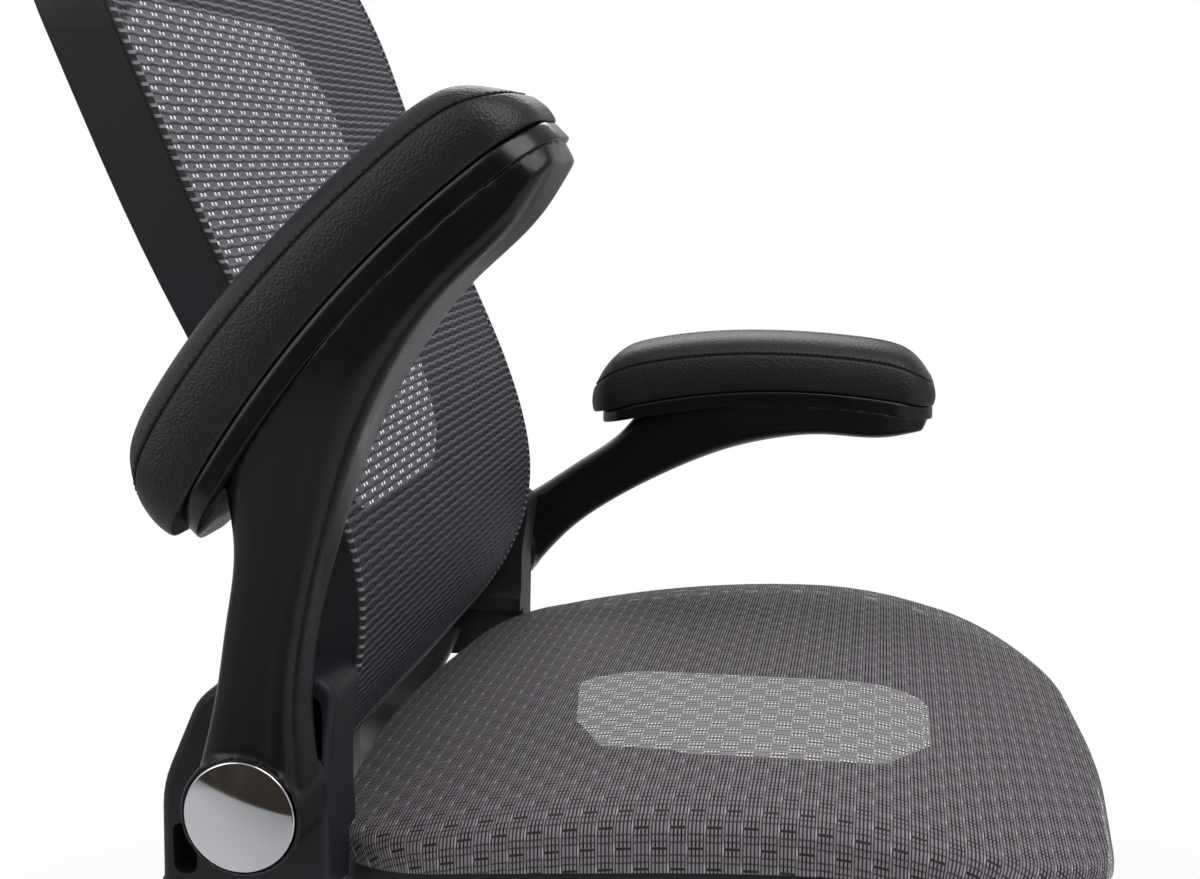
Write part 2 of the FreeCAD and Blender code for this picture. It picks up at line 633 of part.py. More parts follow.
def tension_knob():
    top = FLOOR_Z - KNOB_GAP
    knob = cylinder_z(KNOB_R, top - KNOB_H, top, 0, KNOB_Y)
    knob = knob.makeFillet(KNOB_LOBE_R, [e for e in knob.Edges if abs(e.CenterOfMass.z - top + KNOB_H) < 0.1])
    grooves = []
    for i in range(KNOB_LOBES):
        angle = 2 * math.pi * i / KNOB_LOBES
        reach = KNOB_R + KNOB_LOBE_R * 0.5
        x, y = reach * math.cos(angle), KNOB_Y + reach * math.sin(angle)
        grooves.append(cylinder_z(KNOB_LOBE_R, top - KNOB_H - 1, top + 1, x, y))
    bolt = cylinder_z(TENSION_BOLT_R, top - KNOB_H / 2, top + 1, 0, KNOB_Y)
    return knob.cut(grooves).cut(bolt)


def tension_bolt():
    return cylinder_z(TENSION_BOLT_R, FLOOR_Z - KNOB_GAP - KNOB_H / 2, FLOOR_Z + TENSION_BOLT_IN, 0, KNOB_Y)


def seat_outline(inset):
    """Plan of the seat, drawn in by inset."""
    side = SEAT_HALF_W - inset
    rear, rear_corner = SEAT_REAR_Y - inset, SEAT_REAR_CORNER_Y - inset
    front, front_corner = SEAT_FRONT_Y + inset, SEAT_FRONT_CORNER_Y + inset
    right = [(0, rear, SEAT_BOW_R), (side, rear_corner, SEAT_REAR_R - inset / 2),
             (side, front_corner, SEAT_FRONT_R - inset / 2), (0, front, SEAT_BOW_R)]
    left = [(-x, y, radius) for x, y, radius in reversed(right[1:3])]
    return rounded_wire(right + left, on_plan)


def seat_height(x, y):
    away = y - SEAT_CREST_Y
    if away > 0:
        fall = SEAT_REAR_FALL * (away / (SEAT_REAR_Y - SEAT_CREST_Y)) ** 2
    else:
        fall = SEAT_FRONT_FALL * (away / (SEAT_FRONT_Y - SEAT_CREST_Y)) ** 2
    return SEAT_TOP_Z - fall - SEAT_SIDE_FALL * abs(x / SEAT_HALF_W) ** SEAT_SIDE_POWER


def under_seat(drop):
    """Everything within 150 mm under the seat's top surface, which is lowered by drop."""
    side = SEAT_HALF_W + 6
    columns = [side * math.sin(math.pi / 2 * i / 7) for i in range(-7, 8)]
    step = (SEAT_REAR_Y - SEAT_FRONT_Y + 20) / 10
    rows = [SEAT_FRONT_Y - 10 + step * i for i in range(11)]
    surface = Part.BSplineSurface()
    surface.interpolate([[V(x, y, seat_height(x, y) - drop) for y in rows] for x in columns])
    return surface.toShape().extrude(V(0, 0, -150))


def above_hem(drop):
    """Everything above the mesh's lower edge, which is lowered by drop."""
    hem = spline_edge([V(0, y, z - drop) for y, z in SEAT_HEM])
    first, last = SEAT_HEM[0], SEAT_HEM[-1]
    top = SEAT_TOP_Z + 50
    ends = [V(0, last[0], last[1] - drop), V(0, last[0], top),
            V(0, first[0], top), V(0, first[0], first[1] - drop)]
    sides = [Part.LineSegment(a, b).toShape() for a, b in zip(ends, ends[1:])]
    return prism(Part.Wire([hem] + sides), V(-2 * SEAT_HALF_W, 0, 0), X_AXIS * 4 * SEAT_HALF_W)


def seat_block(inset, drop):
    outline = prism(seat_outline(inset), Z_AXIS * (PAN_DECK_Z - 100), Z_AXIS * 300)
    return outline.common(under_seat(drop))


def seat_mesh():
    shell = seat_block(0, 0).cut(seat_block(SEAT_MESH_T, SEAT_MESH_T))
    return shell.common(above_hem(0))


def seat_opening():
    right = [(PAN_OPEN_HALF_W, PAN_OPEN_REAR_Y, PAN_OPEN_R), (PAN_OPEN_HALF_W, PAN_OPEN_FRONT_Y, PAN_OPEN_R)]
    left = [(-x, y, radius) for x, y, radius in reversed(right)]
    return rounded_wire(right + left, on_plan)


def seat_pan():
    under = SEAT_MESH_T + SEAT_GAP
    pan = seat_block(under, under).common(above_hem(PAN_RIM_BELOW))
    well = prism(seat_outline(PAN_RIM_W), Z_AXIS * PAN_DECK_Z, Z_AXIS * 200)
    below = prism(seat_outline(PAN_RIM_W * 0.7), Z_AXIS * (PAN_DECK_Z - PAN_DECK_T), Z_AXIS * -200)
    opening = prism(seat_opening(), Z_AXIS * PLATE_TOP_Z, Z_AXIS * 200)
    pan = pan.cut([well, below])
    bosses = []
    for x, y in boss_places():
        height = PAN_DECK_Z - PLATE_TOP_Z
        bosses.append(Part.makeCone(BOSS_R, BOSS_R + BOSS_TAPER, height, V(x, y, PLATE_TOP_Z)))
    pan = pan.fuse(bosses).removeSplitter().cut(opening)
    grip_z = PLATE_TOP_Z + SEAT_BOLT_GRIP
    return pan.cut([cylinder_z(BOLT_R, PLATE_TOP_Z - 1, grip_z, x, y) for x, y in boss_places()])


def bolt_up(x, y, head_top, grip):
    head = cylinder_z(BOLT_HEAD_R, head_top - BOLT_HEAD_H, head_top, x, y)
    return head.fuse(cylinder_z(BOLT_R, head_top, head_top + grip, x, y)).removeSplitter()


def seat_bolts():
    return Part.makeCompound([bolt_up(x, y, PLATE_Z, PLATE_T + SEAT_BOLT_GRIP) for x, y in boss_places()])


def yoke_bolts():
    grip = PLATE_T + YOKE_BOLT_GRIP
    return Part.makeCompound([bolt_up(x, y, PLATE_Z, grip) for x, y in yoke_bolt_places()])


def yoke_half():
    """Left half of the yoke: the upright and its turn into the crossbar."""
    points = [V(*YOKE_TOP, back_foot_z())] + [V(*p) for p in YOKE_PATH]
    wires = []
    for i, point in enumerate(points):
        tangent = points[min(i + 1, len(points) - 1)] - points[max(i - 1, 0)]
        if i == len(points) - 1:
            tangent = -X_AXIS
        tangent.normalize()
        depth = Y_AXIS - tangent * tangent.dot(Y_AXIS)
        depth.normalize()
        up = tangent.cross(depth)
        wires.append(section_wire(point, depth, up, YOKE_DEPTH / 2, YOKE_T / 2, YOKE_EDGE_R))
    return Part.makeLoft(wires, True, False)


def yoke_tongue():
    wires = []
    for y, z, height, half in TONGUE_SECTIONS:
        centre = V(0, y, PLATE_TOP_Z + z + height / 2)
        wires.append(section_wire(centre, X_AXIS, Z_AXIS, half, height / 2, height * 0.3))
    neck = Part.makeLoft(wires, True, False)
    last_y, last_half = TONGUE_SECTIONS[-1][0], TONGUE_SECTIONS[-1][3]
    plate = block(-last_half, last_half, TONGUE_FRONT_Y, last_y, PLATE_TOP_Z, PLATE_TOP_Z + TONGUE_T)
    upright = [e for e in plate.Edges if abs(e.CenterOfMass.y - TONGUE_FRONT_Y) < 0.1
               and abs(e.CenterOfMass.z - PLATE_TOP_Z - TONGUE_T / 2) < 0.1]
    plate = plate.makeFillet(PLATE_ROUND, upright)
    return neck.fuse(plate)


def back_foot_z():
    return ARM_AXIS_Z + BACK_FOOT_Z


def spigot(play):
    """Block on the upright's top that goes into the back frame, with play on each side."""
    half_w, half_d = SPIGOT_W / 2 + play, SPIGOT_D / 2 + play
    return block(SPIGOT_X - half_w, SPIGOT_X + half_w, SPIGOT_Y - half_d, SPIGOT_Y + half_d,
                 back_foot_z() - 2, back_foot_z() + SPIGOT_H + play)


def back_bolt_z():
    return back_foot_z() + SPIGOT_H / 2


def back_yoke():
    half = yoke_half()
    yoke = half.fuse([mirrored(half), yoke_tongue()]).removeSplitter()
    yoke = yoke.cut(block(-ROOM, ROOM, 0, ROOM, back_foot_z(), back_foot_z() + ROOM))
    yoke = yoke.fuse([spigot(0), mirrored(spigot(0))]).removeSplitter()
    grip_z = PLATE_TOP_Z + YOKE_BOLT_GRIP
    holes = [cylinder_z(BOLT_R, PLATE_TOP_Z - 1, grip_z, x, y) for x, y in yoke_bolt_places()]
    for x in (-SPIGOT_X, SPIGOT_X):
        holes.append(cylinder_y(BACK_BOLT_R, SPIGOT_Y, SPIGOT_Y + SPIGOT_D, x, back_bolt_z()))
    return yoke.cut(holes)


def back_bolts():
    bolts = []
    for x in (-SPIGOT_X, SPIGOT_X):
        seat = back_bolt_seat_y()
        shank = cylinder_y(BACK_BOLT_R, SPIGOT_Y, seat, x, back_bolt_z())
        head = cylinder_y(BACK_BOLT_HEAD_R, seat, seat + BACK_BOLT_HEAD_H, x, back_bolt_z())
        bolts.append(shank.fuse(head).removeSplitter())
    return Part.makeCompound(bolts)


def back_bolt_seat_y():
    return SPIGOT_Y + SPIGOT_D / 2 + BACK_WALL


def back_outline(inset, foot_r, foot_z):
    """Front view of the back, drawn in by inset, with its own lower edge and lower corners."""
    right = [(BACK_HALF_FOOT - inset, foot_z, foot_r), (BACK_HALF_WAIST - inset, BACK_WAIST_Z, BACK_WAIST_R),
             (BACK_HALF_TOP - inset, BACK_SHOULDER_Z - inset, BACK_SHOULDER_R - inset)]
    left = [(-x, z, radius) for x, z, radius in reversed(right)]
    return rounded_wire(right + [(0, BACK_TOP_Z - inset, BACK_TOP_R)] + left, back_front)


def window_outline():
    """Front view of the window inside the rear flange."""
    right = [(WINDOW_HALF_FOOT, WINDOW_FOOT_Z, WINDOW_FOOT_R),
             (WINDOW_HALF_TOP, WINDOW_TOP_Z, WINDOW_TOP_R)]
    left = [(-x, z, radius) for x, z, radius in reversed(right)]
    return rounded_wire(right + left, back_front)


def back_band(near, far):
    """Full-width band between two depths behind the back's front line."""
    front = spline_edge([from_arm_axis(y + near, z) for y, z in BACK_FRONT_LINE])
    rear = spline_edge([from_arm_axis(y + far, z) for y, z in BACK_FRONT_LINE])
    ends = []
    for y, z in (BACK_FRONT_LINE[0], BACK_FRONT_LINE[-1]):
        ends.append(Part.LineSegment(from_arm_axis(y + near, z), from_arm_axis(y + far, z)).toShape())
    wire = Part.Wire(Part.__sortEdges__([front, rear] + ends))
    return prism(wire, V(-ROOM, 0, 0), X_AXIS * 2 * ROOM)


def back_prism(wire):
    return prism(wire, V(0, -ROOM, 0), Y_AXIS * 2 * ROOM)


def pocket_wire(rear, front, bottom, top, radius):
    corners = [(front, bottom, radius), (rear, bottom, radius), (rear, top, radius), (front, top, radius)]
    return rounded_wire(corners, from_arm_axis)


def arm_housing():
    """Moulded bracket on the frame's left side, with lightening pockets in its outer face."""
    inner = BACK_HALF_WAIST - BACK_WALL
    outline = rounded_wire(HOUSING_CORNERS, from_arm_axis)
    shape = prism(outline, X_AXIS * inner, X_AXIS * (HOUSING_OUT_X - inner))
    rim = [e for e in shape.Edges if abs(e.CenterOfMass.x - HOUSING_OUT_X) < 0.1]
    shape = shape.makeFillet(BACK_WALL, rim)
    floor = X_AXIS * (HOUSING_OUT_X - HOUSING_POCKET_DEPTH)
    cuts = [prism(pocket_wire(*pocket), floor, X_AXIS * ROOM) for pocket in HOUSING_POCKETS]
    below_foot = Z_AXIS * (back_foot_z() - ROOM)
    cuts.append(block(0, BACK_HALF_WAIST + SIDE_GAP, -ROOM, ROOM, back_foot_z() - ROOM, back_foot_z()))
    cuts.append(prism(seat_outline(-SIDE_GAP), below_foot, Z_AXIS * ROOM))
    return shape.cut(cuts)


def back_frame():
    front = BACK_SHEET_T + SEAT_GAP
    outline = back_prism(back_outline(0, BACK_FOOT_R, BACK_FOOT_Z))
    tub = back_band(front, front + BACK_DEPTH).common(outline)
    cavity = back_band(front - 1, front + BACK_DEPTH - BACK_WALL)
    cavity = cavity.common(back_prism(back_outline(BACK_WALL, BACK_MESH_FOOT_R - BACK_WALL,
                                                    BACK_MESH_FOOT_Z + BACK_WALL)))
    window = back_prism(window_outline())
    tub = tub.cut([cavity, window])
    housing = arm_housing().cut(back_band(front - 2 * BACK_DEPTH, front).common(outline))
    tub = tub.fuse([housing, mirrored(housing)]).removeSplitter()
    axle = cylinder_x(ARM_AXLE_R, HOUSING_OUT_X - ARM_AXLE_IN, HOUSING_OUT_X + 1, ARM_AXIS_Y, ARM_AXIS_Z)
    rear_y = SPIGOT_Y + 2 * BACK_DEPTH
    bolt = cylinder_y(BACK_BOLT_R, SPIGOT_Y, rear_y, SPIGOT_X, back_bolt_z())
    sink = cylinder_y(BACK_BOLT_HEAD_R, back_bolt_seat_y(), rear_y, SPIGOT_X, back_bolt_z())
    cuts = [axle, bolt, sink, spigot(SEAT_GAP)]
    return tub.cut(cuts + [mirrored(c) for c in cuts])


def mesh_prism(inset):
    return back_prism(back_outline(inset, BACK_MESH_FOOT_R - inset, BACK_MESH_FOOT_Z + inset))


def back_mesh():
    return back_band(0, BACK_SHEET_T).common(mesh_prism(SIDE_GAP + EDGING_W + SEAT_GAP))


def back_mesh_edging():
    return back_band(0, BACK_SHEET_T).common(mesh_prism(SIDE_GAP).cut(mesh_prism(SIDE_GAP + EDGING_W)))


def arm_axle():
    reach = ARM_PLANE_X + ARM_HUB_W / 2 - CAP_SEAT - SIDE_GAP
    return cylinder_x(ARM_AXLE_R, HOUSING_OUT_X - ARM_AXLE_IN, reach, ARM_AXIS_Y, ARM_AXIS_Z)


def above_line(line):
    """Everything above an arc of the arm's side view, given by three points."""
    points = [from_arm_axis(y, z) for y, z in line]
    arc = Part.Arc(*points).toShape()
    up = Z_AXIS * ROOM
    sides = [Part.LineSegment(points[2], points[2] + up).toShape(),
             Part.LineSegment(points[2] + up, points[0] + up).toShape(),
             Part.LineSegment(points[0] + up, points[0]).toShape()]
    return prism(Part.Wire([arc] + sides), V(0, 0, 0), X_AXIS * 2 * ARM_PLANE_X)


def arm_body():
    wires = []
    for top, bottom, width in ARM_SECTIONS:
        high, low = from_arm_axis(*top), from_arm_axis(*bottom)
        up = high - low
        half = up.Length / 2
        centre = (high + low) * 0.5 + X_AXIS * ARM_PLANE_X
        wires.append(section_wire(centre, X_AXIS, up.normalize(), width / 2, half, ARM_EDGE_R))
    body = Part.makeLoft(wires, True, False).cut([above_line(TRAY_LINE), nose_trim()])
    x0, x1 = ARM_PLANE_X - ARM_HUB_W / 2, ARM_PLANE_X + ARM_HUB_W / 2
    hub = cylinder_x(ARM_HUB_R, x0, x1, ARM_AXIS_Y, ARM_AXIS_Z)
    hub = hub.makeFillet(ARM_BUSH_T, [e for e in hub.Edges if abs(e.CenterOfMass.x - x1) < 0.1])
    body = body.fuse(hub).removeSplitter()
    bore = cylinder_x(ARM_AXLE_R + RUN + ARM_BUSH_T, x0 - 1, x1 + 1, ARM_AXIS_Y, ARM_AXIS_Z)
    seat = cylinder_x(CAP_R, x1 - CAP_SEAT, x1 + 1, ARM_AXIS_Y, ARM_AXIS_Z)
    return body.cut([bore, seat])


def arm_bush():
    x0, x1 = ARM_PLANE_X - ARM_HUB_W / 2, ARM_PLANE_X + ARM_HUB_W / 2 - CAP_SEAT
    inner = ARM_AXLE_R + RUN
    outer = cylinder_x(inner + ARM_BUSH_T, x0, x1, ARM_AXIS_Y, ARM_AXIS_Z)
    return outer.cut(cylinder_x(inner, x0, x1, ARM_AXIS_Y, ARM_AXIS_Z))


def arm_cap():
    """Chrome cap: a flat disc with a low dome."""
    base = ARM_PLANE_X + ARM_HUB_W / 2 - CAP_SEAT
    dome_r = (CAP_R ** 2 + CAP_DOME ** 2) / (2 * CAP_DOME)
    dome = Part.makeSphere(dome_r, V(base + CAP_T - dome_r, ARM_AXIS_Y, ARM_AXIS_Z), X_AXIS)
    return cylinder_x(CAP_R, base, base + 2 * CAP_T, ARM_AXIS_Y, ARM_AXIS_Z).common(dome)


def tray_plan():
    """Room above and below the tray's rounded plan."""
    half = TRAY_W / 2
    rear, front = ARM_AXIS_Y + TRAY_REAR_Y, ARM_AXIS_Y + TRAY_FRONT_Y
    corners = [(ARM_PLANE_X + half, rear, TRAY_END_R), (ARM_PLANE_X + half, front, TRAY_END_R),
               (ARM_PLANE_X - half, front, TRAY_END_R), (ARM_PLANE_X - half, rear, TRAY_END_R)]
    return prism(rounded_wire(corners, on_plan), Z_AXIS * ARM_AXIS_Z, Z_AXIS * ROOM)


def nose_trim():
    """What lies outside the tray's round front corners, where the arm's nose ends."""
    front = ARM_AXIS_Y + TRAY_FRONT_Y
    corner = block(ARM_PLANE_X - TRAY_W, ARM_PLANE_X + TRAY_W, front - TRAY_END_R, front + TRAY_END_R,
                   ARM_AXIS_Z, ARM_AXIS_Z + ROOM)
    return corner.cut(tray_plan())


def arm_tray():
    return tray_plan().common(above_line(TRAY_LINE)).cut(above_line(PAD_LINE))


def pad_wire(y, top, half):
    def place(x, z):
        return V(ARM_PLANE_X + x, ARM_AXIS_Y + y, ARM_AXIS_Z + z)

    low = PAD_LINE[0][1] - PAD_ROOT
    shoulder = top - PAD_CROWN
    middle = (low + shoulder) / 2
    foot = half - PAD_BULGE
    edges = [Part.LineSegment(place(-foot, low), place(foot, low)).toShape(),
             Part.Arc(place(foot, low), place(half, middle), place(foot, shoulder)).toShape(),
             Part.Arc(place(foot, shoulder), place(0, top), place(-foot, shoulder)).toShape(),
             Part.Arc(place(-foot, shoulder), place(-half, middle), place(-foot, low)).toShape()]
    return Part.Wire(edges)


def arm_pad():
    loft = Part.makeLoft([pad_wire(*section) for section in PAD_SECTIONS], True, False)
    lifted = [(y, z + SEAT_GAP) for y, z in PAD_LINE]
    return loft.common(above_line(lifted))


def save_arms():
    pieces = {"arm": arm_body(), "arm_tray": arm_tray(), "arm_pad": arm_pad(),
              "arm_cap": arm_cap(), "arm_bush": arm_bush()}
    for name, shape in pieces.items():
        save(name + "_left", shape)
        raised = mirrored(shape)
        raised.rotate(V(0, ARM_AXIS_Y, ARM_AXIS_Z), X_AXIS, -ARM_RAISED)
        save(name + "_right", raised)
    save("arm_axle_left", arm_axle())
    save("arm_axle_right", mirrored(arm_axle()))


def save_single_pieces():
    makers = [star_base, column_tube, column_bush, thrust_bearing, piston_rod, rod_retainer, gas_cylinder,
              valve_button, mechanism_housing, tilt_shaft, tension_spring, mechanism_top_plate, height_lever,
              lever_paddle, lock_slider, tension_knob, tension_bolt, seat_mesh, seat_pan, seat_bolts,
              yoke_bolts, back_yoke, back_bolts, back_frame, back_mesh, back_mesh_edging]
    for maker in makers:
        shape = maker()
        print("%s: %d solid(s), %.0f cm3, valid %s"
              % (maker.__name__, len(shape.Solids), shape.Volume / 1000, shape.isValid()))
        save(maker.__name__, shape)


os.makedirs("parts", exist_ok=True)
save_single_pieces()
save_casters()
save_arms()
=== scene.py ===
# %% [markdown]
# # A mesh office chair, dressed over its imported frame
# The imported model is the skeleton: every rigid piece is already in its place and rides on its body.
# This lesson adds what a solid model leaves plain: woven sheets, sewn pads, smooth mouldings,
# finishes, light and the camera. All lengths are in metres, in the chair's own frame.

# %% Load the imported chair
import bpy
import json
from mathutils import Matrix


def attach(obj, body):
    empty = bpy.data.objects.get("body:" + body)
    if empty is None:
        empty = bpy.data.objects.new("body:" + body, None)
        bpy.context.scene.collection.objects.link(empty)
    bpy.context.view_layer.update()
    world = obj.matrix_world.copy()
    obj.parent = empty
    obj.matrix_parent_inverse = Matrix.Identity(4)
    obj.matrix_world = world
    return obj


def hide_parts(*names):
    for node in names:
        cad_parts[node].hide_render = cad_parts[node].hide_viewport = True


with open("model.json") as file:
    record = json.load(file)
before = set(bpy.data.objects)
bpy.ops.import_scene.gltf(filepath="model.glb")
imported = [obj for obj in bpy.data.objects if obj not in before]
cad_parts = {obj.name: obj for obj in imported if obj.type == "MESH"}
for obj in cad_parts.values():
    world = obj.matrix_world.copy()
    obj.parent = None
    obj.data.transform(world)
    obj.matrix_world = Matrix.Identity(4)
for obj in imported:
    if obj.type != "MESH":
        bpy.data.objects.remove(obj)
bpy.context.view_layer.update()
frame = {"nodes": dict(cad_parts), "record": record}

import bpy
import json
import math
import numpy as np
from mathutils import Matrix, Vector

scene = bpy.context.scene

# %% [markdown]
# ## Camera
# The picture is a close view from the sitter's right, a little above the seat. A yaw and a pitch are
# easier to read than a matrix, so the view is built from those two angles.

# %% Camera
CAMERA_PLACE = Vector((-1.068, -0.091, 0.793))
CAMERA_YAW = math.radians(9.40)
CAMERA_PITCH = math.radians(9.53)
look = Vector((math.cos(CAMERA_PITCH) * math.cos(CAMERA_YAW),
               math.cos(CAMERA_PITCH) * math.sin(CAMERA_YAW), -math.sin(CAMERA_PITCH)))


def in_scene(name, data):
    """A new object, linked to the scene."""
    thing = bpy.data.objects.new(name, data)
    scene.collection.objects.link(thing)
    return thing


camera = in_scene("view_camera", bpy.data.cameras.new("view_camera"))
camera.data.sensor_width = 36.0
camera.data.lens = 51.0
camera.data.clip_start = 0.02
camera.matrix_world = Matrix.Translation(CAMERA_PLACE) @ look.to_track_quat("-Z", "Y").to_matrix().to_4x4()
scene.camera = camera
print("camera looks along", tuple(round(v, 3) for v in look))

# %% [markdown]
# ## Small helpers for node trees
# Node trees are wordy to write by hand, so a few helpers do the repeated steps. An input takes a
# number, a colour or a socket to be wired; sums of sockets read nearly like sums of numbers; a smooth
# step and a mix of two colours do most of the drawing.

# %% Node helpers
def give(node, values):
    """Sets inputs by name or number: a socket is wired, anything else becomes the value."""
    for name, value in values.items():
        if isinstance(value, bpy.types.NodeSocket):
            node.id_data.links.new(value, node.inputs[name])
        else:
            node.inputs[name].default_value = value


def add(tree, kind, values=None, **settings):
    """A new shader node with its settings and its inputs."""
    node = tree.nodes.new("ShaderNode" + kind)
    for name, value in settings.items():
        setattr(node, name, value)
    give(node, values or {})
    return node


def maths(operation, *terms):
    """The result of a Math node, whose terms are numbers or sockets."""
    tree = next(term.id_data for term in terms if isinstance(term, bpy.types.NodeSocket))
    return add(tree, "Math", dict(enumerate(terms)), operation=operation).outputs[0]


def plus(a, b):
    return maths("ADD", a, b)


def minus(a, b):
    return maths("SUBTRACT", a, b)


def times(a, b):
    return maths("MULTIPLY", a, b)


def apart(a, b):
    """Distance between two values."""
    return maths("ABSOLUTE", minus(a, b))


def ramp(value, low, high, from_value=0.0, to_value=1.0):
    """Smooth step of a value between low and high."""
    limits = {"From Min": low, "From Max": high, "To Min": from_value, "To Max": to_value}
    node = add(value.id_data, "MapRange", {"Value": value, **limits}, interpolation_type="SMOOTHSTEP")
    return node.outputs["Result"]


def mixed(mask, low, high):
    """A colour between two colours, by a mask."""
    node = add(mask.id_data, "Mix", {0: mask, 6: (*low, 1.0), 7: (*high, 1.0)}, data_type="RGBA")
    return node.outputs[2]


def object_place(tree):
    return add(tree, "TexCoord").outputs["Object"]


def noise(place, **values):
    """Noise at a place, with its values by socket name."""
    return add(place.id_data, "TexNoise", {"Vector": place, **values}).outputs["Fac"]


def new_group(name, inputs, outputs):
    """A node group with named sockets, each given as (name, kind, value), and its two end nodes."""
    group = bpy.data.node_groups.new(name, "ShaderNodeTree")
    for label, kind, value in inputs:
        socket = group.interface.new_socket(label, in_out="INPUT", socket_type="NodeSocket" + kind)
        if value is not None:
            socket.default_value = value
    for label, kind in outputs:
        group.interface.new_socket(label, in_out="OUTPUT", socket_type="NodeSocket" + kind)
    return group, group.nodes.new("NodeGroupInput").outputs, group.nodes.new("NodeGroupOutput")


def scaled_colour(colour, factor):
    """A colour made lighter or darker by a factor that changes over the surface."""
    return add(colour.id_data, "VectorMath", {0: colour, "Scale": factor}, operation="SCALE").outputs[0]

# %% [markdown]
# ## Moulded grain
# Nearly every rigid piece of the chair is black glass-filled nylon with a fine spark-eroded grain.
# Up close it shows tiny pits, cloudy shades and patches that hands have polished. One group makes all
# three, and each material sets its own grain size and colour.

# %% Group: moulded grain
grain, into, out = new_group(
    "moulded_grain",
    [("Colour", "Color", (0.02, 0.02, 0.023, 1.0)), ("Grain per metre", "Float", 900.0),
     ("Roughness", "Float", 0.45), ("Polish", "Float", 0.1)],
    [("Colour", "Color"), ("Roughness", "Float"), ("Height", "Float")])
place = object_place(grain)
pits = noise(place, Scale=into["Grain per metre"], Detail=2.0, Roughness=0.6)
cloud = noise(place, Scale=7.0, Detail=3.0)
rubbed = noise(place, Scale=23.0, Detail=4.0, Roughness=0.65)
polish = times(ramp(rubbed, 0.45, 0.7), into["Polish"])
give(out, {"Colour": scaled_colour(into["Colour"], ramp(cloud, 0.25, 0.75, 0.82, 1.18)),
           "Roughness": minus(into["Roughness"], polish), "Height": pits})
print("group", grain.name)

# %% [markdown]
# ## Pebbled leather
# The arm pads wear a coated leather: small rounded pebbles. Painted shade darkens the crease round
# each one and leaves its top lighter. Voronoi cells are pebbles by nature, and a little noise keeps
# them from looking like tiles.

# %% Group: pebbled leather
pebble, into, out = new_group(
    "pebbled_leather",
    [("Colour", "Color", (0.02, 0.02, 0.022, 1.0)), ("Pebbles per metre", "Float", 620.0),
     ("Roughness", "Float", 0.42)],
    [("Colour", "Color"), ("Roughness", "Float"), ("Height", "Float")])
place = object_place(pebble)
cells = add(pebble, "TexVoronoi", {"Vector": place, "Scale": into["Pebbles per metre"]},
            feature="SMOOTH_F1").outputs["Distance"]
creases = noise(place, Scale=160.0, Detail=4.0)
hide = noise(place, Scale=11.0, Detail=3.0)
dome = minus(1.0, ramp(cells, 0.1, 0.7))
# Painted shade: each pebble is lighter on its top and darker in its crease; the hide noise is the leather's
# own random tone.
shade = plus(times(dome, 0.25), ramp(hide, 0.3, 0.7, 0.75, 1.0))
give(out, {"Colour": scaled_colour(into["Colour"], shade),
           "Roughness": minus(into["Roughness"], times(dome, 0.08)),
           "Height": plus(dome, times(creases, 0.1))})
print("group", pebble.name)

# %% [markdown]
# ## Rib weave of the back
# The back sheet is knitted in soft horizontal ribs that swing up and down, so that each two ribs
# enclose a row of lens-shaped panes of thin film, set half a step over from row to row. Where two
# panes meet there is a pair of small clear eyes with one thread between them. The distance from a
# row's middle, compared with a cosine along the row, draws all of it.

# %% Group: rib weave
RIB_PITCH, LENS_LENGTH = 0.0053, 0.0190
HALF_PANE, PANE_SWING = 0.24, 0.09
ribs, into, out = new_group(
    "rib_weave",
    [("Flat", "Vector", None), ("Rib pitch", "Float", RIB_PITCH), ("Lens length", "Float", LENS_LENGTH)],
    [("Rib", "Float"), ("Pane", "Float"), ("Eye", "Float"), ("Height", "Float")])
split = add(ribs, "SeparateXYZ", {0: into["Flat"]}).outputs
along = maths("DIVIDE", split["X"], into["Lens length"])
down = plus(maths("DIVIDE", split["Y"], into["Rib pitch"]), 0.5)
off = apart(maths("FRACT", down), 0.5)
step = maths("FRACT", plus(along, times(maths("FLOOR", down), 0.5)))
from_joint = minus(0.5, apart(step, 0.5))
swing = maths("COSINE", times(step, 2 * math.pi))
inside = minus(minus(HALF_PANE, times(swing, PANE_SWING)), off)
pane = ramp(inside, -0.05, 0.05)
eye = times(ramp(from_joint, 0.05, 0.09), ramp(from_joint, 0.20, 0.16))
give(out, {"Rib": minus(1.0, pane), "Pane": pane, "Eye": times(eye, ramp(off, 0.22, 0.13)),
           "Height": ramp(inside, 0.08, -0.22)})
print("group", ribs.name)

# %% [markdown]
# ## Basket weave of the seat
# The seat cloth is heavier: columns of four fat yarns. Along a column the yarns lie on top as bars,
# dip, come up as two rows of short beads, and reach a slot; past it the same rows come back. The
# next column is half a step behind, so the slots stand like bricks. The dark at each yarn's edges, in
# the dips and in the slots is painted shade. A thread ties the columns and shows as a dot once a step,
# painted paler as sheen. Daylight comes through pin holes between the beads, most of all in the rows
# beside a slot. Fractions and floors of the flat coordinates make all of these at once.

# %% Group: basket weave
YARN_COLUMN, YARN_STEP, YARN_SHARE = 0.0094, 0.0225, 0.215
# Places of the two dips along a step, and how much a dip is sunk and painted darker as shade.
FIRST_DIP, SECOND_DIP, DIP_SHADE_AND_DEPTH = 0.175, 0.345, 0.7
basket, into, out = new_group(
    "basket_weave",
    [("Flat", "Vector", None), ("Column", "Float", YARN_COLUMN), ("Step", "Float", YARN_STEP)],
    [("Yarn and shade", "Float"), ("Tie and sheen", "Float"), ("Pinhole", "Float"), ("Height", "Float")])
split = add(basket, "SeparateXYZ", {0: into["Flat"]}).outputs
column = maths("DIVIDE", split["X"], into["Column"])
along = maths("DIVIDE", split["Y"], into["Step"])


def half_behind(count):
    """Place along the step, from 0 to 1, half a step behind in every other column."""
    return maths("FRACT", plus(along, times(count, 0.5)))


def near(value, centre, wide, narrow):
    """1 where a value is close to a centre, 0 away from it."""
    return ramp(apart(value, centre), wide, narrow)


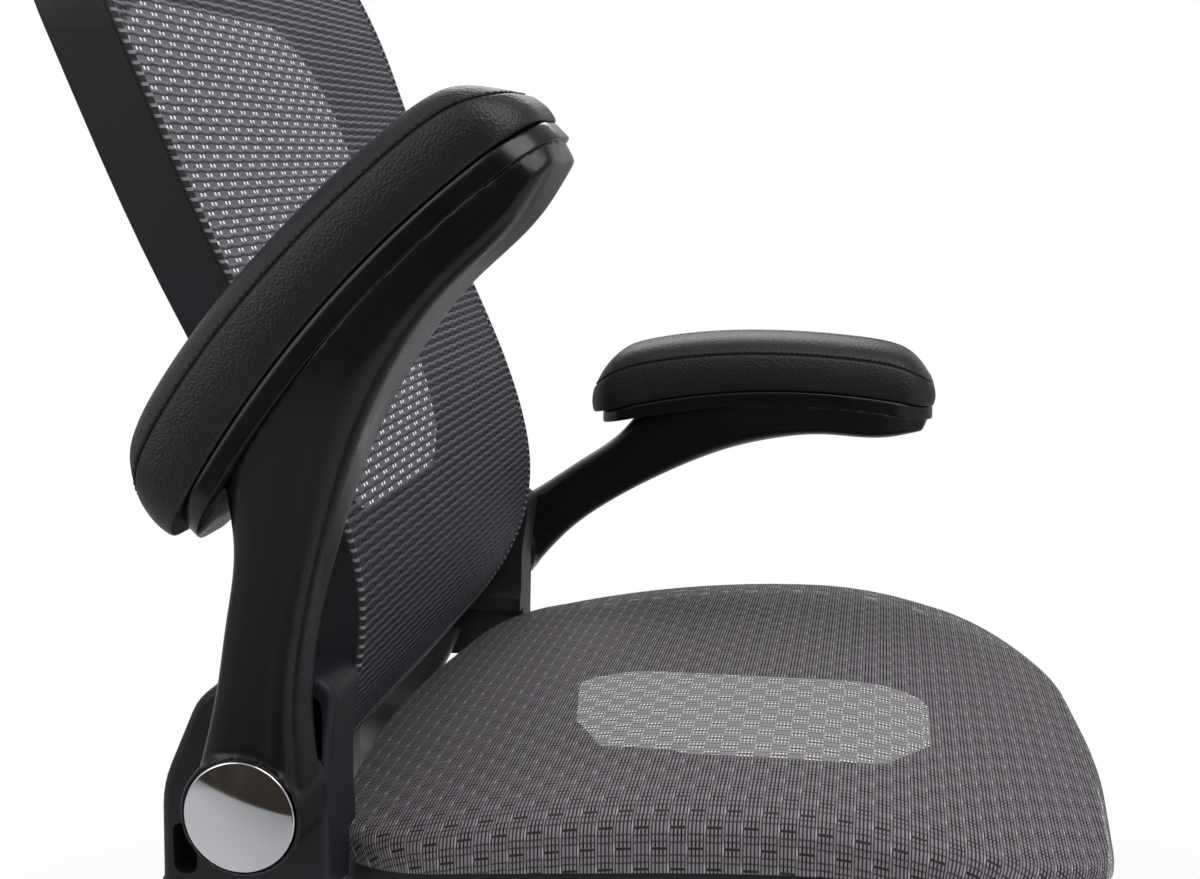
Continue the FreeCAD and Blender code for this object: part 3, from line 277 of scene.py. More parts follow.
across = minus(maths("FRACT", column), 0.5)
from_slot = minus(0.5, apart(half_behind(maths("FLOOR", column)), 0.5))
strand = maths("COSINE", times(across, 2 * math.pi / YARN_SHARE))
round_yarn = minus(0.5, times(strand, 0.5))
slot = ramp(from_slot, 0.045, 0.020)
dip = maths("MAXIMUM", near(from_slot, FIRST_DIP, 0.036, 0.012), near(from_slot, SECOND_DIP, 0.036, 0.012))
edge = ramp(maths("ABSOLUTE", across), 0.43, 0.465)
dot = near(half_behind(maths("FLOOR", plus(column, 0.5))), 0.5, 0.16, 0.08)
# Painted sheen: the tie mask makes the ties paler than the yarns; it also gives their height.
loop = times(edge, plus(times(dot, 0.6), 0.4))
# Painted shade: this mask darkens each yarn towards its edges, in the dips and in the slots; it also gives
# the yarns' height.
yarn = times(ramp(round_yarn, -0.1, 0.7), minus(1.0, slot))
yarn = times(yarn, minus(1.0, times(dip, DIP_SHADE_AND_DEPTH)))
first_row = near(from_slot, 0.105, 0.070, 0.035)
second_row = times(near(from_slot, 0.26, 0.080, 0.040), 0.45)
beads = plus(plus(first_row, second_row), ramp(from_slot, SECOND_DIP, 0.385, 0.0, 0.2))
hole = times(ramp(round_yarn, 0.42, 0.18), beads)
give(out, {"Yarn and shade": yarn, "Tie and sheen": loop, "Pinhole": times(hole, minus(1.0, edge)),
           "Height": plus(yarn, times(loop, 0.5))})
print("group", basket.name)

# %% [markdown]
# ## Finishes
# The Principled shader stays in each material, and the groups feed it.

# %% Material starters
def start_material(name):
    """A new material, its node tree and its shader."""
    finish = bpy.data.materials.new(name)
    finish.use_nodes = True
    return finish, finish.node_tree, finish.node_tree.nodes["Principled BSDF"]


def relief(height, depth, strength):
    """Normal of a bump, so many metres deep."""
    values = {"Height": height, "Strength": strength, "Distance": depth}
    return add(height.id_data, "Bump", values).outputs["Normal"]


def surfaced(shader, group, values, depth, strength):
    """Colour, roughness and relief of a shader from a group."""
    surface = add(shader.id_data, "Group", values, node_tree=group).outputs
    give(shader, {"Base Color": surface["Colour"], "Roughness": surface["Roughness"],
                  "Normal": relief(surface["Height"], depth, strength)})

# %% [markdown]
# The rigid pieces of the chair need nine finishes: five black plastics that differ in gloss, a coated
# steel, the pale plastic of the bushes, zinc and chrome. All of them have some grain: deep in nylon,
# nearly none in chrome.

# %% Rigid finishes
# Colour, grain per metre, roughness, polish by hands, grain depth, and the shine (None for a metal).
RIGID_FINISHES = {
    "black_nylon": ((0.0150, 0.0156, 0.0198), 1500.0, 0.50, 0.10, 0.00018, 0.32),
    "arm_plastic": ((0.0050, 0.0050, 0.0062), 1900.0, 0.30, 0.08, 0.00004, 0.34),
    "tray_plastic": ((0.0050, 0.0050, 0.0062), 1900.0, 0.26, 0.10, 0.00003, 0.42),
    "caster_plastic": ((0.012, 0.012, 0.014), 1700.0, 0.42, 0.10, 0.00006, 0.4),
    "wheel_tread": ((0.020, 0.020, 0.022), 700.0, 0.55, 0.15, 0.00010, 0.3),
    "bush_plastic": ((0.55, 0.54, 0.50), 900.0, 0.5, 0.05, 0.00005, 0.4),
    "powder_coat": ((0.011, 0.011, 0.0125), 1100.0, 0.38, 0.08, 0.00015, 0.45),
    "zinc_plate": ((0.55, 0.55, 0.57), 500.0, 0.34, 0.12, 0.00003, None),
    "mirror_chrome": ((0.64, 0.65, 0.67), 300.0, 0.06, 0.03, 0.000002, None)}
PLASTIC_RELIEF, METAL_RELIEF = 0.35, 0.2
rigid = {}
for name, (colour, grain_size, roughness, polish, depth, shine) in RIGID_FINISHES.items():
    rigid[name], tree, shader = start_material(name)
    values = {"Colour": (*colour, 1.0), "Grain per metre": grain_size, "Roughness": roughness,
              "Polish": polish}
    surfaced(shader, grain, values, depth, METAL_RELIEF if shine is None else PLASTIC_RELIEF)
    give(shader, {"Metallic": 1.0} if shine is None else {"Specular IOR Level": shine})
print("rigid finishes", list(rigid))

# %% [markdown]
# ## Leather and thread
# Leather gets its pebbles from the group, and a moderate gloss, as a coated hide has. Sewing thread is
# twisted, so its stripes run round each stitch.

# %% Leather and thread
leather, tree, shader = start_material("pad_leather")
values = {"Colour": (0.0110, 0.0112, 0.0140, 1.0), "Pebbles per metre": 850.0, "Roughness": 0.47}
surfaced(shader, pebble, values, 0.00022, 0.7)
give(shader, {"Specular IOR Level": 0.42})

thread, tree, shader = start_material("sewing_thread")
stripes = add(tree, "TexWave", {"Vector": object_place(tree), "Scale": 700.0, "Distortion": 1.0},
              bands_direction="DIAGONAL").outputs["Fac"]
give(shader, {"Base Color": mixed(stripes, (0.006, 0.006, 0.007), (0.022, 0.022, 0.024)),
              "Normal": relief(stripes, 0.0001, 0.6), "Roughness": 0.7})
print("soft finishes", leather.name, thread.name)

# %% [markdown]
# ## Woven sheets
# Both sheets are see-through in the gaps of their weave, so what lies behind them shows: black
# plastic round the edge, daylight in the middle. That is why the centre of the back and of the seat
# look pale in a bright room. Alpha does this honestly, from every side.

# %% Back mesh material
def flat_place(tree):
    """Place on the flat cloth, in metres."""
    return add(tree, "UVMap", uv_map="flat").outputs["UV"]


back_mesh, tree, shader = start_material("back_mesh")
weave = add(tree, "Group", {"Flat": flat_place(tree)}, node_tree=ribs).outputs
clear = maths("MAXIMUM", times(weave["Pane"], 0.08), times(weave["Eye"], 0.9))
give(shader, {"Base Color": mixed(weave["Rib"], (0.022, 0.025, 0.035), (0.073, 0.076, 0.090)),
              "Alpha": minus(1.0, clear), "Normal": relief(weave["Height"], 0.0012, 0.8),
              "Roughness": 0.62, "Specular IOR Level": 0.3})
print("material", back_mesh.name)

# %% [markdown]
# The seat's yarns are pale, and their dark gaps are painted shade; the ties are painted paler still,
# as sheen, so the tie's colour is laid over the yarn's. The cloth hides all but a few hundredths of
# what is behind it, except in the pin holes.

# %% Seat mesh material
seat_mesh, tree, shader = start_material("seat_mesh")
weave = add(tree, "Group", {"Flat": flat_place(tree)}, node_tree=basket).outputs
# Painted shade: the dark colour goes at the yarns' edges, gaps, dips and slots.
cloth = mixed(weave["Yarn and shade"], (0.020, 0.018, 0.020), (0.285, 0.257, 0.281))
# Painted sheen: the ties' paler colour.
tied = add(tree, "Mix", {0: weave["Tie and sheen"], 6: cloth, 7: (0.60, 0.56, 0.59, 1.0)}, data_type="RGBA")
clear = plus(times(weave["Pinhole"], 0.95), 0.03)
give(shader, {"Base Color": tied.outputs[2], "Alpha": minus(1.0, clear),
              "Normal": relief(weave["Height"], 0.0009, 0.8), "Roughness": 0.66,
              "Specular IOR Level": 0.3})
print("material", seat_mesh.name)

# %% [markdown]
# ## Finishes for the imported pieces
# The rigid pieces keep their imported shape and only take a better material. The record says which
# material slot each piece has, so one table from slot to finish dresses them all.

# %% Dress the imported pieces
slot_finish = {**rigid, "edging": rigid["black_nylon"], "black_steel": rigid["powder_coat"],
               "bright_steel": rigid["zinc_plate"], "chrome_cap": rigid["mirror_chrome"],
               "back_fabric": back_mesh, "seat_fabric": seat_mesh, "pad_leather": leather}
for entry in frame["record"]["subparts"]:
    piece = frame["nodes"][entry["node"]]
    piece.data.materials.clear()
    piece.data.materials.append(slot_finish[entry["material_slot"]])
print(len(frame["nodes"]), "packed pieces dressed")

# %% [markdown]
# ## Building smooth skins
# Mouldings and pads are swept forms: a ring of points travels along the piece and changes as it
# goes. One helper makes a mesh of such rings, and one draws a smooth curve through a few stations, so
# that no facets show.

# %% Skin helpers
def lengths(line):
    """Length along a line of points, from its start to each point."""
    return np.concatenate([[0.0], np.cumsum(np.linalg.norm(np.diff(line, axis=0), axis=1))])


def spline_slopes(stations, at):
    """Slopes that give a curve without a jump in its bend, with free ends."""
    gaps = np.diff(at)
    chords = np.diff(stations, axis=0) / gaps[:, None]
    matrix, right = np.zeros((len(at), len(at))), np.zeros_like(stations)
    for i in range(1, len(at) - 1):
        matrix[i, i - 1:i + 2] = gaps[i], 2 * (gaps[i - 1] + gaps[i]), gaps[i - 1]
        right[i] = 3 * (gaps[i] * chords[i - 1] + gaps[i - 1] * chords[i])
    matrix[0, :2], right[0] = (2, 1), 3 * chords[0]
    matrix[-1, -2:], right[-1] = (1, 2), 3 * chords[-1]
    return np.linalg.solve(matrix, right)


def through(stations, count):
    """Smooth rows through the stations, evenly spread along their length."""
    stations = np.array(stations, float)
    at = lengths(stations)
    slopes = spline_slopes(stations, at)
    wanted = np.linspace(0.0, at[-1], count)
    left = np.clip(np.searchsorted(at, wanted, side="right") - 1, 0, len(at) - 2)
    span = (at[left + 1] - at[left])[:, None]
    t = (wanted - at[left])[:, None] / span
    p0, p1, m0, m1 = stations[left], stations[left + 1], slopes[left] * span, slopes[left + 1] * span
    return ((2 * t**3 - 3 * t**2 + 1) * p0 + (t**3 - 2 * t**2 + t) * m0
            + (3 * t**2 - 2 * t**3) * p1 + (t**3 - t**2) * m1)


def ring_faces(count, points):
    """Faces between the neighbours of a stack of closed rings."""
    faces = []
    for i in range(count - 1):
        for j in range(points):
            k = (j + 1) % points
            faces.append((i * points + j, i * points + k, (i + 1) * points + k, (i + 1) * points + j))
    return faces


def skin(name, rings, finish, close_ends=True):
    """Mesh over a stack of closed rings, given as an array of ring, point and place."""
    count, points = rings.shape[:2]
    places = [tuple(p) for p in rings.reshape(-1, 3)]
    faces = ring_faces(count, points)
    if close_ends:
        for ring, flip in ((0, True), (count - 1, False)):
            places.append(tuple(rings[ring].mean(axis=0)))
            centre = len(places) - 1
            for j in range(points):
                a, b = ring * points + j, ring * points + (j + 1) % points
                faces.append((b, a, centre) if flip else (a, b, centre))
    return shaped(name, places, faces, finish)


def shaped(name, places, faces, finish):
    """A smooth-shaded object from points and faces."""
    mesh = bpy.data.meshes.new(name)
    mesh.from_pydata(places, [], faces)
    mesh.validate()
    mesh.polygons.foreach_set("use_smooth", [True] * len(mesh.polygons))
    mesh.materials.append(finish)
    return in_scene(name, mesh)


def apply_modifiers(piece):
    """Keeps the shape that the modifiers give, and drops them."""
    bpy.context.view_layer.update()
    done = piece.evaluated_get(bpy.context.evaluated_depsgraph_get())
    mesh = bpy.data.meshes.new_from_object(done)
    piece.modifiers.clear()
    piece.data = mesh
    mesh.polygons.foreach_set("use_smooth", [True] * len(mesh.polygons))

# %% [markdown]
# ## Outlines with round corners
# Trays, pads and sheets are all cut to an outline of straight runs and round corners. This helper
# walks such an outline in even steps, and a second one gives the direction that points inward.

# %% Outline helpers
def rounded_outline(corners, spacing):
    """Points round a closed outline of corners (a, b, radius), about one spacing apart."""
    points = np.array([c[:2] for c in corners], float)
    line = []
    for i, (_, _, radius) in enumerate(corners):
        corner = points[i]
        before, after = points[i - 1] - corner, points[(i + 1) % len(points)] - corner
        before, after = before / np.linalg.norm(before), after / np.linalg.norm(after)
        half = math.acos(np.clip(before @ after, -1, 1)) / 2
        run = radius / math.tan(half)
        inward = (before + after) / np.linalg.norm(before + after)
        centre = corner + inward * radius / math.sin(half)
        first, last = corner + before * run - centre, corner + after * run - centre
        a0 = math.atan2(first[1], first[0])
        sweep = (math.atan2(last[1], last[0]) - a0 + math.pi) % (2 * math.pi) - math.pi
        for t in np.linspace(0, 1, max(3, int(abs(sweep) * radius / spacing) + 2)):
            line.append(centre + radius * np.array([math.cos(a0 + sweep * t), math.sin(a0 + sweep * t)]))
    line = np.array(line + [line[0]])
    gone = lengths(line)
    wanted = np.linspace(0, gone[-1], int(gone[-1] / spacing), endpoint=False)
    return np.stack([np.interp(wanted, gone, line[:, k]) for k in (0, 1)], axis=1)


def inward_of(outline):
    """Unit directions that point into an outline that runs anticlockwise, or out of a clockwise one."""
    run = np.roll(outline, -1, axis=0) - np.roll(outline, 1, axis=0)
    return np.stack([-run[:, 1], run[:, 0]], axis=1) / np.linalg.norm(run, axis=1, keepdims=True)

# %% [markdown]
# ## Where the arms are
# Both arms are the same moulding. It is built once with the arm down, in the left arm's place; the
# right arm is its mirror image, flipped up about the axle. The lines under the pad and under the
# tray are arcs through three points.

# %% Arm places
ARM_AXIS = Vector((0.0, 0.215, 0.470))
ARM_PLANE = 0.288
ARM_RAISED = math.radians(45.3)
TRAY_LINE = [(-0.084, 0.109), (-0.215, 0.129), (-0.358, 0.1165)]
PAD_LINE = [(-0.084, 0.119), (-0.215, 0.140), (-0.358, 0.1265)]
TRAY_REAR, TRAY_FRONT, TRAY_HALF, TRAY_END_R = -0.086, -0.348, 0.039, 0.030
raise_right = (Matrix.Translation(ARM_AXIS) @ Matrix.Rotation(-ARM_RAISED, 4, "X")
               @ Matrix.Translation(-ARM_AXIS) @ Matrix.Scale(-1.0, 4, (1.0, 0.0, 0.0)))


def arc_height(line, y):
    """Height of the arc through three points, at y."""
    (y0, z0), (y1, z1), (y2, z2) = line
    a = np.array([[y0 - y1, z0 - z1], [y1 - y2, z1 - z2]])
    b = 0.5 * np.array([y0**2 - y1**2 + z0**2 - z1**2, y1**2 - y2**2 + z1**2 - z2**2])
    yc, zc = np.linalg.solve(a, b)
    return zc + np.sqrt((y1 - yc) ** 2 + (z1 - zc) ** 2 - (y - yc) ** 2)


def arm_space(x, y, z):
    """Rows of points from arm coordinates to the chair's frame, for the left arm."""
    return np.stack([ARM_PLANE + x, ARM_AXIS.y + y, ARM_AXIS.z + z], axis=-1)


def right_copy(piece, name):
    """The mirrored and raised twin of a left arm's piece."""
    mesh = piece.data.copy()
    mesh.transform(raise_right)
    mesh.flip_normals()
    return in_scene(name, mesh)

# %% [markdown]
# ## Arm moulding
# The arm is one thick moulding: a round hub, a shank that leans forward, and an arch that carries
# the tray. Real mouldings have soft blends where hub and shank meet, so the two are swept apart,
# fused by a voxel remesh and then smoothed. A shallow groove along both flanks is part of the sweep,
# and the nose is held inside the tray's round corners so that both end flush.

# %% Arm moulding
# Top (y, z), bottom (y, z) and width of each station, from the axle.
ARM_STATIONS = [(0.007, 0.029, -0.030, -0.012, 0.044), (-0.031, 0.051, -0.060, 0.020, 0.040),
                (-0.065, 0.074, -0.098, 0.047, 0.042), (-0.098, 0.098, -0.140, 0.070, 0.050),
                (-0.135, 0.134, -0.186, 0.090, 0.066), (-0.200, 0.142, -0.232, 0.102, 0.077),
                (-0.262, 0.140, -0.270, 0.105, 0.077), (-0.312, 0.134, -0.310, 0.104, 0.077),
                (-0.346, 0.128, -0.339, 0.110, 0.070)]
HUB_R, HUB_IN, HUB_OUT, HUB_EDGE = 0.0315, -0.023, 0.023, 0.002
CAP_R, CAP_SEAT, CAP_GAP = 0.029, 0.004, 0.0002
GROOVE_DEPTH, GROOVE_AT, GROOVE_WIDTH = 0.0016, -0.25, 0.13
TRAY_BITE, TRAY_ARC_END, NOSE_GAP = 0.0008, -0.357, 0.0003
# How far each last ring shrinks, and how far forward it stands.
NOSE_RINGS = ((0.94, 0.0008), (0.8, 0.0014), (0.5, 0.0018))
# A power of 1 would give a round section, and 0 a square one.
SECTION_POWER = 0.4
angles = np.linspace(0, 2 * math.pi, 64, endpoint=False)
side, rise = [np.sign(c) * np.abs(c) ** SECTION_POWER for c in (np.cos(angles), np.sin(angles))]
groove = GROOVE_DEPTH * np.exp(-(((rise - GROOVE_AT) / GROOVE_WIDTH) ** 2)) * (np.abs(side) > 0.8)


def nose_half(y):
    """Half width that the tray's plan leaves at y, near its front end."""
    past = np.clip((TRAY_FRONT + TRAY_END_R - y) / TRAY_END_R, 0, 1)
    return TRAY_HALF - TRAY_END_R * (1 - np.sqrt(1 - past**2))


def arm_ring(station, shrink=1.0, forward=0.0):
    """Ring of the arm at a station, held under the tray and inside its plan."""
    top, bottom, width = station[0:2], station[2:4], station[4]
    centre, up = (top + bottom) / 2, (top - bottom) / 2
    y = centre[0] + up[0] * rise * shrink - forward
    z = centre[1] + up[1] * rise * shrink
    z = np.minimum(z, arc_height(TRAY_LINE, np.clip(y, TRAY_ARC_END, 0.0)) + TRAY_BITE)
    half = np.minimum(np.abs(side) * width / 2 - groove, nose_half(y) - NOSE_GAP) * shrink
    return arm_space(np.sign(side) * half, y, z)


stations = through(ARM_STATIONS, 90)
arm_rings = [arm_ring(s) for s in stations]
arm_rings += [arm_ring(stations[-1], shrink, forward) for shrink, forward in NOSE_RINGS]
arm_left = skin("arm_moulding_left", np.array(arm_rings), rigid["arm_plastic"])
print("arm sweep", len(arm_left.data.vertices), "points")

# %% [markdown]
# The hub is turned like a wheel: a profile of depth and radius goes once round the axle. It has a
# shallow seat for the cap. Then hub and sweep become one moulding.

# %% Hub and fusing
def turned(profile, turns=96):
    """Rings of a profile of (x, radius) turned about the arm's axle."""
    spin = np.linspace(0, 2 * math.pi, turns, endpoint=False)
    return np.array([arm_space(np.full(turns, x), radius * np.cos(spin), radius * np.sin(spin))
                     for x, radius in profile])


hub_profile = [(HUB_IN, HUB_R - HUB_EDGE), (HUB_IN + HUB_EDGE, HUB_R), (HUB_OUT - HUB_EDGE, HUB_R),
               (HUB_OUT - HUB_EDGE * 0.3, HUB_R - HUB_EDGE * 0.3), (HUB_OUT, HUB_R - HUB_EDGE * 0.8),
               (HUB_OUT, CAP_R + 2 * CAP_GAP), (HUB_OUT - CAP_SEAT, CAP_R + CAP_GAP)]
hub = skin("hub", turned(hub_profile), rigid["arm_plastic"])
bpy.ops.object.select_all(action="DESELECT")
hub.select_set(True)
arm_left.select_set(True)
bpy.context.view_layer.objects.active = arm_left
bpy.ops.object.join()
fuse = arm_left.modifiers.new("fuse", "REMESH")
fuse.mode = "VOXEL"
fuse.voxel_size = 0.0012
soften = arm_left.modifiers.new("soften", "SMOOTH")
soften.factor = 0.5
soften.iterations = 8
apply_modifiers(arm_left)
print("arm moulding", len(arm_left.data.polygons), "faces")

# %% [markdown]
# ## Stacked rings
# Tray and pad are both made like a layered cake: copies of a plan outline, one above the other. Each
# layer has an inset, a level between the piece's bottom and top, and a spread. With a spread below 1
# the ring shrinks to the spine of the piece, which closes its top and bottom without a pinch.

# %% Stacked rings
def stacked(outline, end_r, layers, bottom, top):
    """Rings for layers of (inset, level, spread) between two heights that depend on y."""
    inward = inward_of(outline)
    spine_y = np.clip(outline[:, 1], outline[:, 1].min() + end_r, outline[:, 1].max() - end_r)
    spine = np.stack([np.zeros(len(outline)), spine_y], axis=1)
    rings = []
    for inset, level, spread in layers:
        plan = spine + (outline + inward * inset - spine) * spread
        low, high = bottom(plan[:, 1]), top(plan[:, 1])
        rings.append(arm_space(plan[:, 0], plan[:, 1], low + (high - low) * level))
    return np.array(rings)


def end_rounded(half, rear, front, end_r, spacing):
    """Plan outline of a tray or a pad."""
    corners = [(half, front), (half, rear), (-half, rear), (-half, front)]
    return rounded_outline([(a, b, end_r) for a, b in corners], spacing)

# %% [markdown]
# ## Tray
# Under each pad lies a shallow tray, a glossier moulding with a rounded plan. Its edge is a bead: it
# swells a little between the pad above and the arch below, so two fine shadow lines show.

# %% Tray
TRAY_LAYERS = [(0.0003, 0.0, 0.05), (0.0003, 0.0, 0.6), (0.0003, 0.0, 1.0), (0.0001, 0.03, 1.0),
               (0.0, 0.10, 1.0), (0.0, 0.3, 1.0), (0.0, 0.7, 1.0), (0.0001, 0.90, 1.0), (0.0005, 0.97, 1.0),
               (0.0013, 1.0, 1.0), (0.0013, 1.0, 0.6), (0.0013, 1.0, 0.05)]
tray_outline = end_rounded(TRAY_HALF, TRAY_REAR, TRAY_FRONT, TRAY_END_R, spacing=0.003)
tray_rings = stacked(tray_outline, TRAY_END_R, TRAY_LAYERS, lambda y: arc_height(TRAY_LINE, y),
                     lambda y: arc_height(PAD_LINE, y))
tray_left = skin("arm_tray_shell_left", tray_rings, rigid["tray_plastic"])
print("tray", len(tray_left.data.polygons), "faces")

# %% [markdown]
# ## Arm pad
# The pad is foam under leather: a top panel and a side band meet in a sewn seam that runs round the
# shoulder. Three close layers make the seam, the middle one sunk. Then the cloth solver blows the
# panels up a little while the seam and the underside are held, so that they swell between their
# stitches as stuffed leather does.

# %% Pad layers
# Place and height of each station of the top, from the axle.
PAD_TOP = [(-0.078, 0.146), (-0.096, 0.165), (-0.130, 0.177), (-0.210, 0.184), (-0.290, 0.180),
           (-0.332, 0.169), (-0.350, 0.153)]
PAD_REAR, PAD_FRONT, PAD_HALF, PAD_LIFT = -0.078, -0.350, 0.0405, 0.0004
PAD_END_R, PAD_CORNER_R = 0.032, 0.024
UNDER_LAYERS = [(0.0040, 0.0, 0.05), (0.0040, 0.0, 0.5), (0.0040, 0.0, 0.9), (0.0026, 0.0, 1.0),
                (0.0016, 0.025, 1.0)]
SIDE_LAYERS = [(0.0009, 0.09, 1.0), (0.0004, 0.19, 1.0), (0.0, 0.31, 1.0), (0.0002, 0.43, 1.0),
               (0.0007, 0.53, 1.0), (0.0014, 0.61, 1.0)]
SEAM_LAYERS = [(0.0020, 0.654, 1.0), (0.0048, 0.668, 1.0), (0.0026, 0.682, 1.0)]
TOP_LAYERS = [(0.0044, 0.74, 1.0), (0.0068, 0.81, 1.0), (0.0102, 0.875, 1.0), (0.0150, 0.930, 1.0),
              (0.0155, 0.960, 0.8), (0.0160, 0.981, 0.6), (0.0160, 0.993, 0.4), (0.0160, 0.999, 0.2),
              (0.0160, 1.0, 0.04)]
pad_top = through(PAD_TOP, 200)[::-1]
pad_layers = UNDER_LAYERS + SIDE_LAYERS + SEAM_LAYERS + TOP_LAYERS
pad_outline = end_rounded(PAD_HALF, PAD_REAR, PAD_FRONT, PAD_CORNER_R, spacing=0.0042)
pad_rings = stacked(pad_outline, PAD_END_R, pad_layers, lambda y: arc_height(PAD_LINE, y) + PAD_LIFT,
                    lambda y: np.interp(y, pad_top[:, 0], pad_top[:, 1]))
pad_left = skin("arm_cushion_left", pad_rings, leather)
ring_size = len(pad_outline)
seam_layer = len(UNDER_LAYERS) + len(SIDE_LAYERS) + 1
print("pad of", len(pad_layers), "layers with", ring_size, "points each")

# %% [markdown]
# The swelling is a short cloth run under pressure. A cap on how far a point may move keeps the pad
# near its solid, and two levels of subdivision round it off.

# %% Pad swelling
SWELL_LIMIT, SWELL_FRAMES = 0.0020, 16
SWELL_CLOTH = {"quality": 6, "mass": 0.3, "tension_stiffness": 30.0, "compression_stiffness": 30.0,
               "shear_stiffness": 10.0, "bending_stiffness": 2.0, "use_pressure": True,
               "uniform_pressure_force": 6.0, "vertex_group_mass": "held"}
held = pad_left.vertex_groups.new(name="held")
held_layers = list(range(len(UNDER_LAYERS)))
held_layers += [seam_layer - 1, seam_layer, seam_layer + 1, len(pad_layers) - 1]
for layer in held_layers:
    held.add(list(range(layer * ring_size, (layer + 1) * ring_size)), 1.0, "REPLACE")
pad_points = np.array([v.co for v in pad_left.data.vertices])
swell = pad_left.modifiers.new("swell", "CLOTH")
for name, value in SWELL_CLOTH.items():
    setattr(swell.settings, name, value)
swell.settings.effector_weights.gravity = 0.0
swell.point_cache.frame_start = 1
swell.point_cache.frame_end = 20
for moment in range(1, SWELL_FRAMES + 1):
    scene.frame_set(moment)
swollen = pad_left.evaluated_get(bpy.context.evaluated_depsgraph_get())
moved = np.array([v.co for v in swollen.data.vertices]) - pad_points
length = np.maximum(np.linalg.norm(moved, axis=1, keepdims=True), 1e-9)
pad_points += moved * np.minimum(1.0, SWELL_LIMIT / length)
pad_left.modifiers.clear()
scene.frame_set(1)
pad_left.data.vertices.foreach_set("co", pad_points.ravel())
print("pad swells by up to %.1f mm" % (1000 * min(length.max(), SWELL_LIMIT)))
round_off = pad_left.modifiers.new("round", "SUBSURF")
round_off.levels = 2
apply_modifiers(pad_left)
print("pad", len(pad_left.data.polygons), "faces")

# %% [markdown]
# ## Stitches
# Each stitch is a short, thick thread end that dips into the leather at both tips. They follow the
# seam just above it, a few millimetres apart, so they are placed by length along that row of points.

# %% Stitches
STITCH_STEP, STITCH_LENGTH, STITCH_R, STITCH_SIDES = 0.0040, 0.0029, 0.00032, 6
# Share of the stitch's length, and share of its thickness there.
STITCH_BODY = [(0.0, 0.25), (0.2, 1.0), (0.8, 1.0), (1.0, 0.25)]
# Shares of the two layers above the seam that the row of stitches lies between.
SEWN_SHARES = (0.55, 0.45)


def stitch_line(line, places, faces):
    """Adds a stitch every step along a line of points."""
    gone = lengths(line)
    for at in np.arange(STITCH_STEP, gone[-1], STITCH_STEP):
        ends = [np.array([np.interp(at + d, gone, line[:, k]) for k in range(3)])
                for d in (-STITCH_LENGTH / 2, STITCH_LENGTH / 2)]
        run = (ends[1] - ends[0]) / np.linalg.norm(ends[1] - ends[0])
        across = np.cross(run, (0.0, 0.0, 1.0))
        across /= np.linalg.norm(across)
        up = np.cross(across, run)
        first = len(places)
        for share, fat in STITCH_BODY:
            middle = ends[0] + (ends[1] - ends[0]) * share
            for k in range(STITCH_SIDES):
                turn = 2 * math.pi * k / STITCH_SIDES
                out = across * math.cos(turn) + up * math.sin(turn)
                places.append(tuple(middle + STITCH_R * fat * out))
        faces += [tuple(first + p for p in face) for face in ring_faces(len(STITCH_BODY), STITCH_SIDES)]
        faces.append(tuple(first + k for k in reversed(range(STITCH_SIDES))))
        faces.append(tuple(len(places) - STITCH_SIDES + k for k in range(STITCH_SIDES)))


places, faces = [], []
sewn = np.zeros((ring_size, 3))
for layer, share in enumerate(SEWN_SHARES, seam_layer + 1):
    sewn += share * pad_points[layer * ring_size:(layer + 1) * ring_size]
stitch_line(np.concatenate([sewn, sewn[:1]]), places, faces)
stitches_left = shaped("arm_stitching_left", places, faces, thread)
print(len(places) // (len(STITCH_BODY) * STITCH_SIDES), "stitches on a pad")

# %% [markdown]
# ## Mirror cap
# A polished cap closes the pivot. Its face is very slightly domed and its rim is rounded, which
# draws the thin bright line round the edge. It is turned like the hub, finely, because a mirror
# shows every facet.

# %% Mirror cap
CAP_PROUD, CAP_DOME, CAP_FOOT = 0.003, 0.0025, 0.0008
# Depth behind the dome's edge, and distance in from the cap's radius.
CAP_RIM = ((0.0009, 0.0003), (0.0003, 0.0005), (0.0, 0.0010))
dome_r = (CAP_R**2 + CAP_DOME**2) / (2 * CAP_DOME)


def dome_x(radius):
    """Where the domed face stands, at a radius."""
    return HUB_OUT + CAP_PROUD - dome_r + math.sqrt(dome_r**2 - radius**2)


cap_edge = CAP_R - CAP_RIM[-1][1]
cap_profile = [(HUB_OUT - CAP_SEAT, CAP_R - CAP_FOOT)]
cap_profile += [(dome_x(cap_edge) - behind, CAP_R - inset) for behind, inset in CAP_RIM]
for share in np.linspace(0.985, 0.02, 20):
    cap_profile.append((dome_x(cap_edge * share), cap_edge * share))
cap_left = skin("arm_mirror_cap_left", turned(cap_profile, 160), rigid["mirror_chrome"])
print("cap", len(cap_left.data.polygons), "faces")

# %% [markdown]
# ## Both arms take their places
# Each piece rides on its arm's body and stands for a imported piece; only the stitches are extra. The
# right arm's pieces are twins of the left arm's.

# %% Both arms take their places
arm_pieces = {"arm_moulding": (arm_left, "arm", "arm_plastic"),
              "arm_tray_shell": (tray_left, "arm_tray", "arm_plastic"),
              "arm_cushion": (pad_left, "arm_pad", "pad_leather"),
              "arm_stitching": (stitches_left, None, "pad_leather"),
              "arm_mirror_cap": (cap_left, "arm_cap", "chrome_cap")}
for name, (piece, node, slot) in arm_pieces.items():
    for body, copy in (("arm_left", piece), ("arm_right", right_copy(piece, name + "_right"))):
        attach(copy, body)
        if node:
            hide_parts(node + body[3:])
print("two arms dressed")

# %% [markdown]
# ## Helpers for the woven sheets
# A sheet is filled with smaller and smaller copies of its outline, which gives a mesh whose edge is
# exact. Flat coordinates for the weave are kept as a UV map, in metres.

# %% Sheet helpers
def with_mirror(right, middle):
    """Corners of a symmetric outline: its right side, one corner in the middle and its left side."""
    return right + [middle] + [(-a, b, r) for a, b, r in reversed(right)]


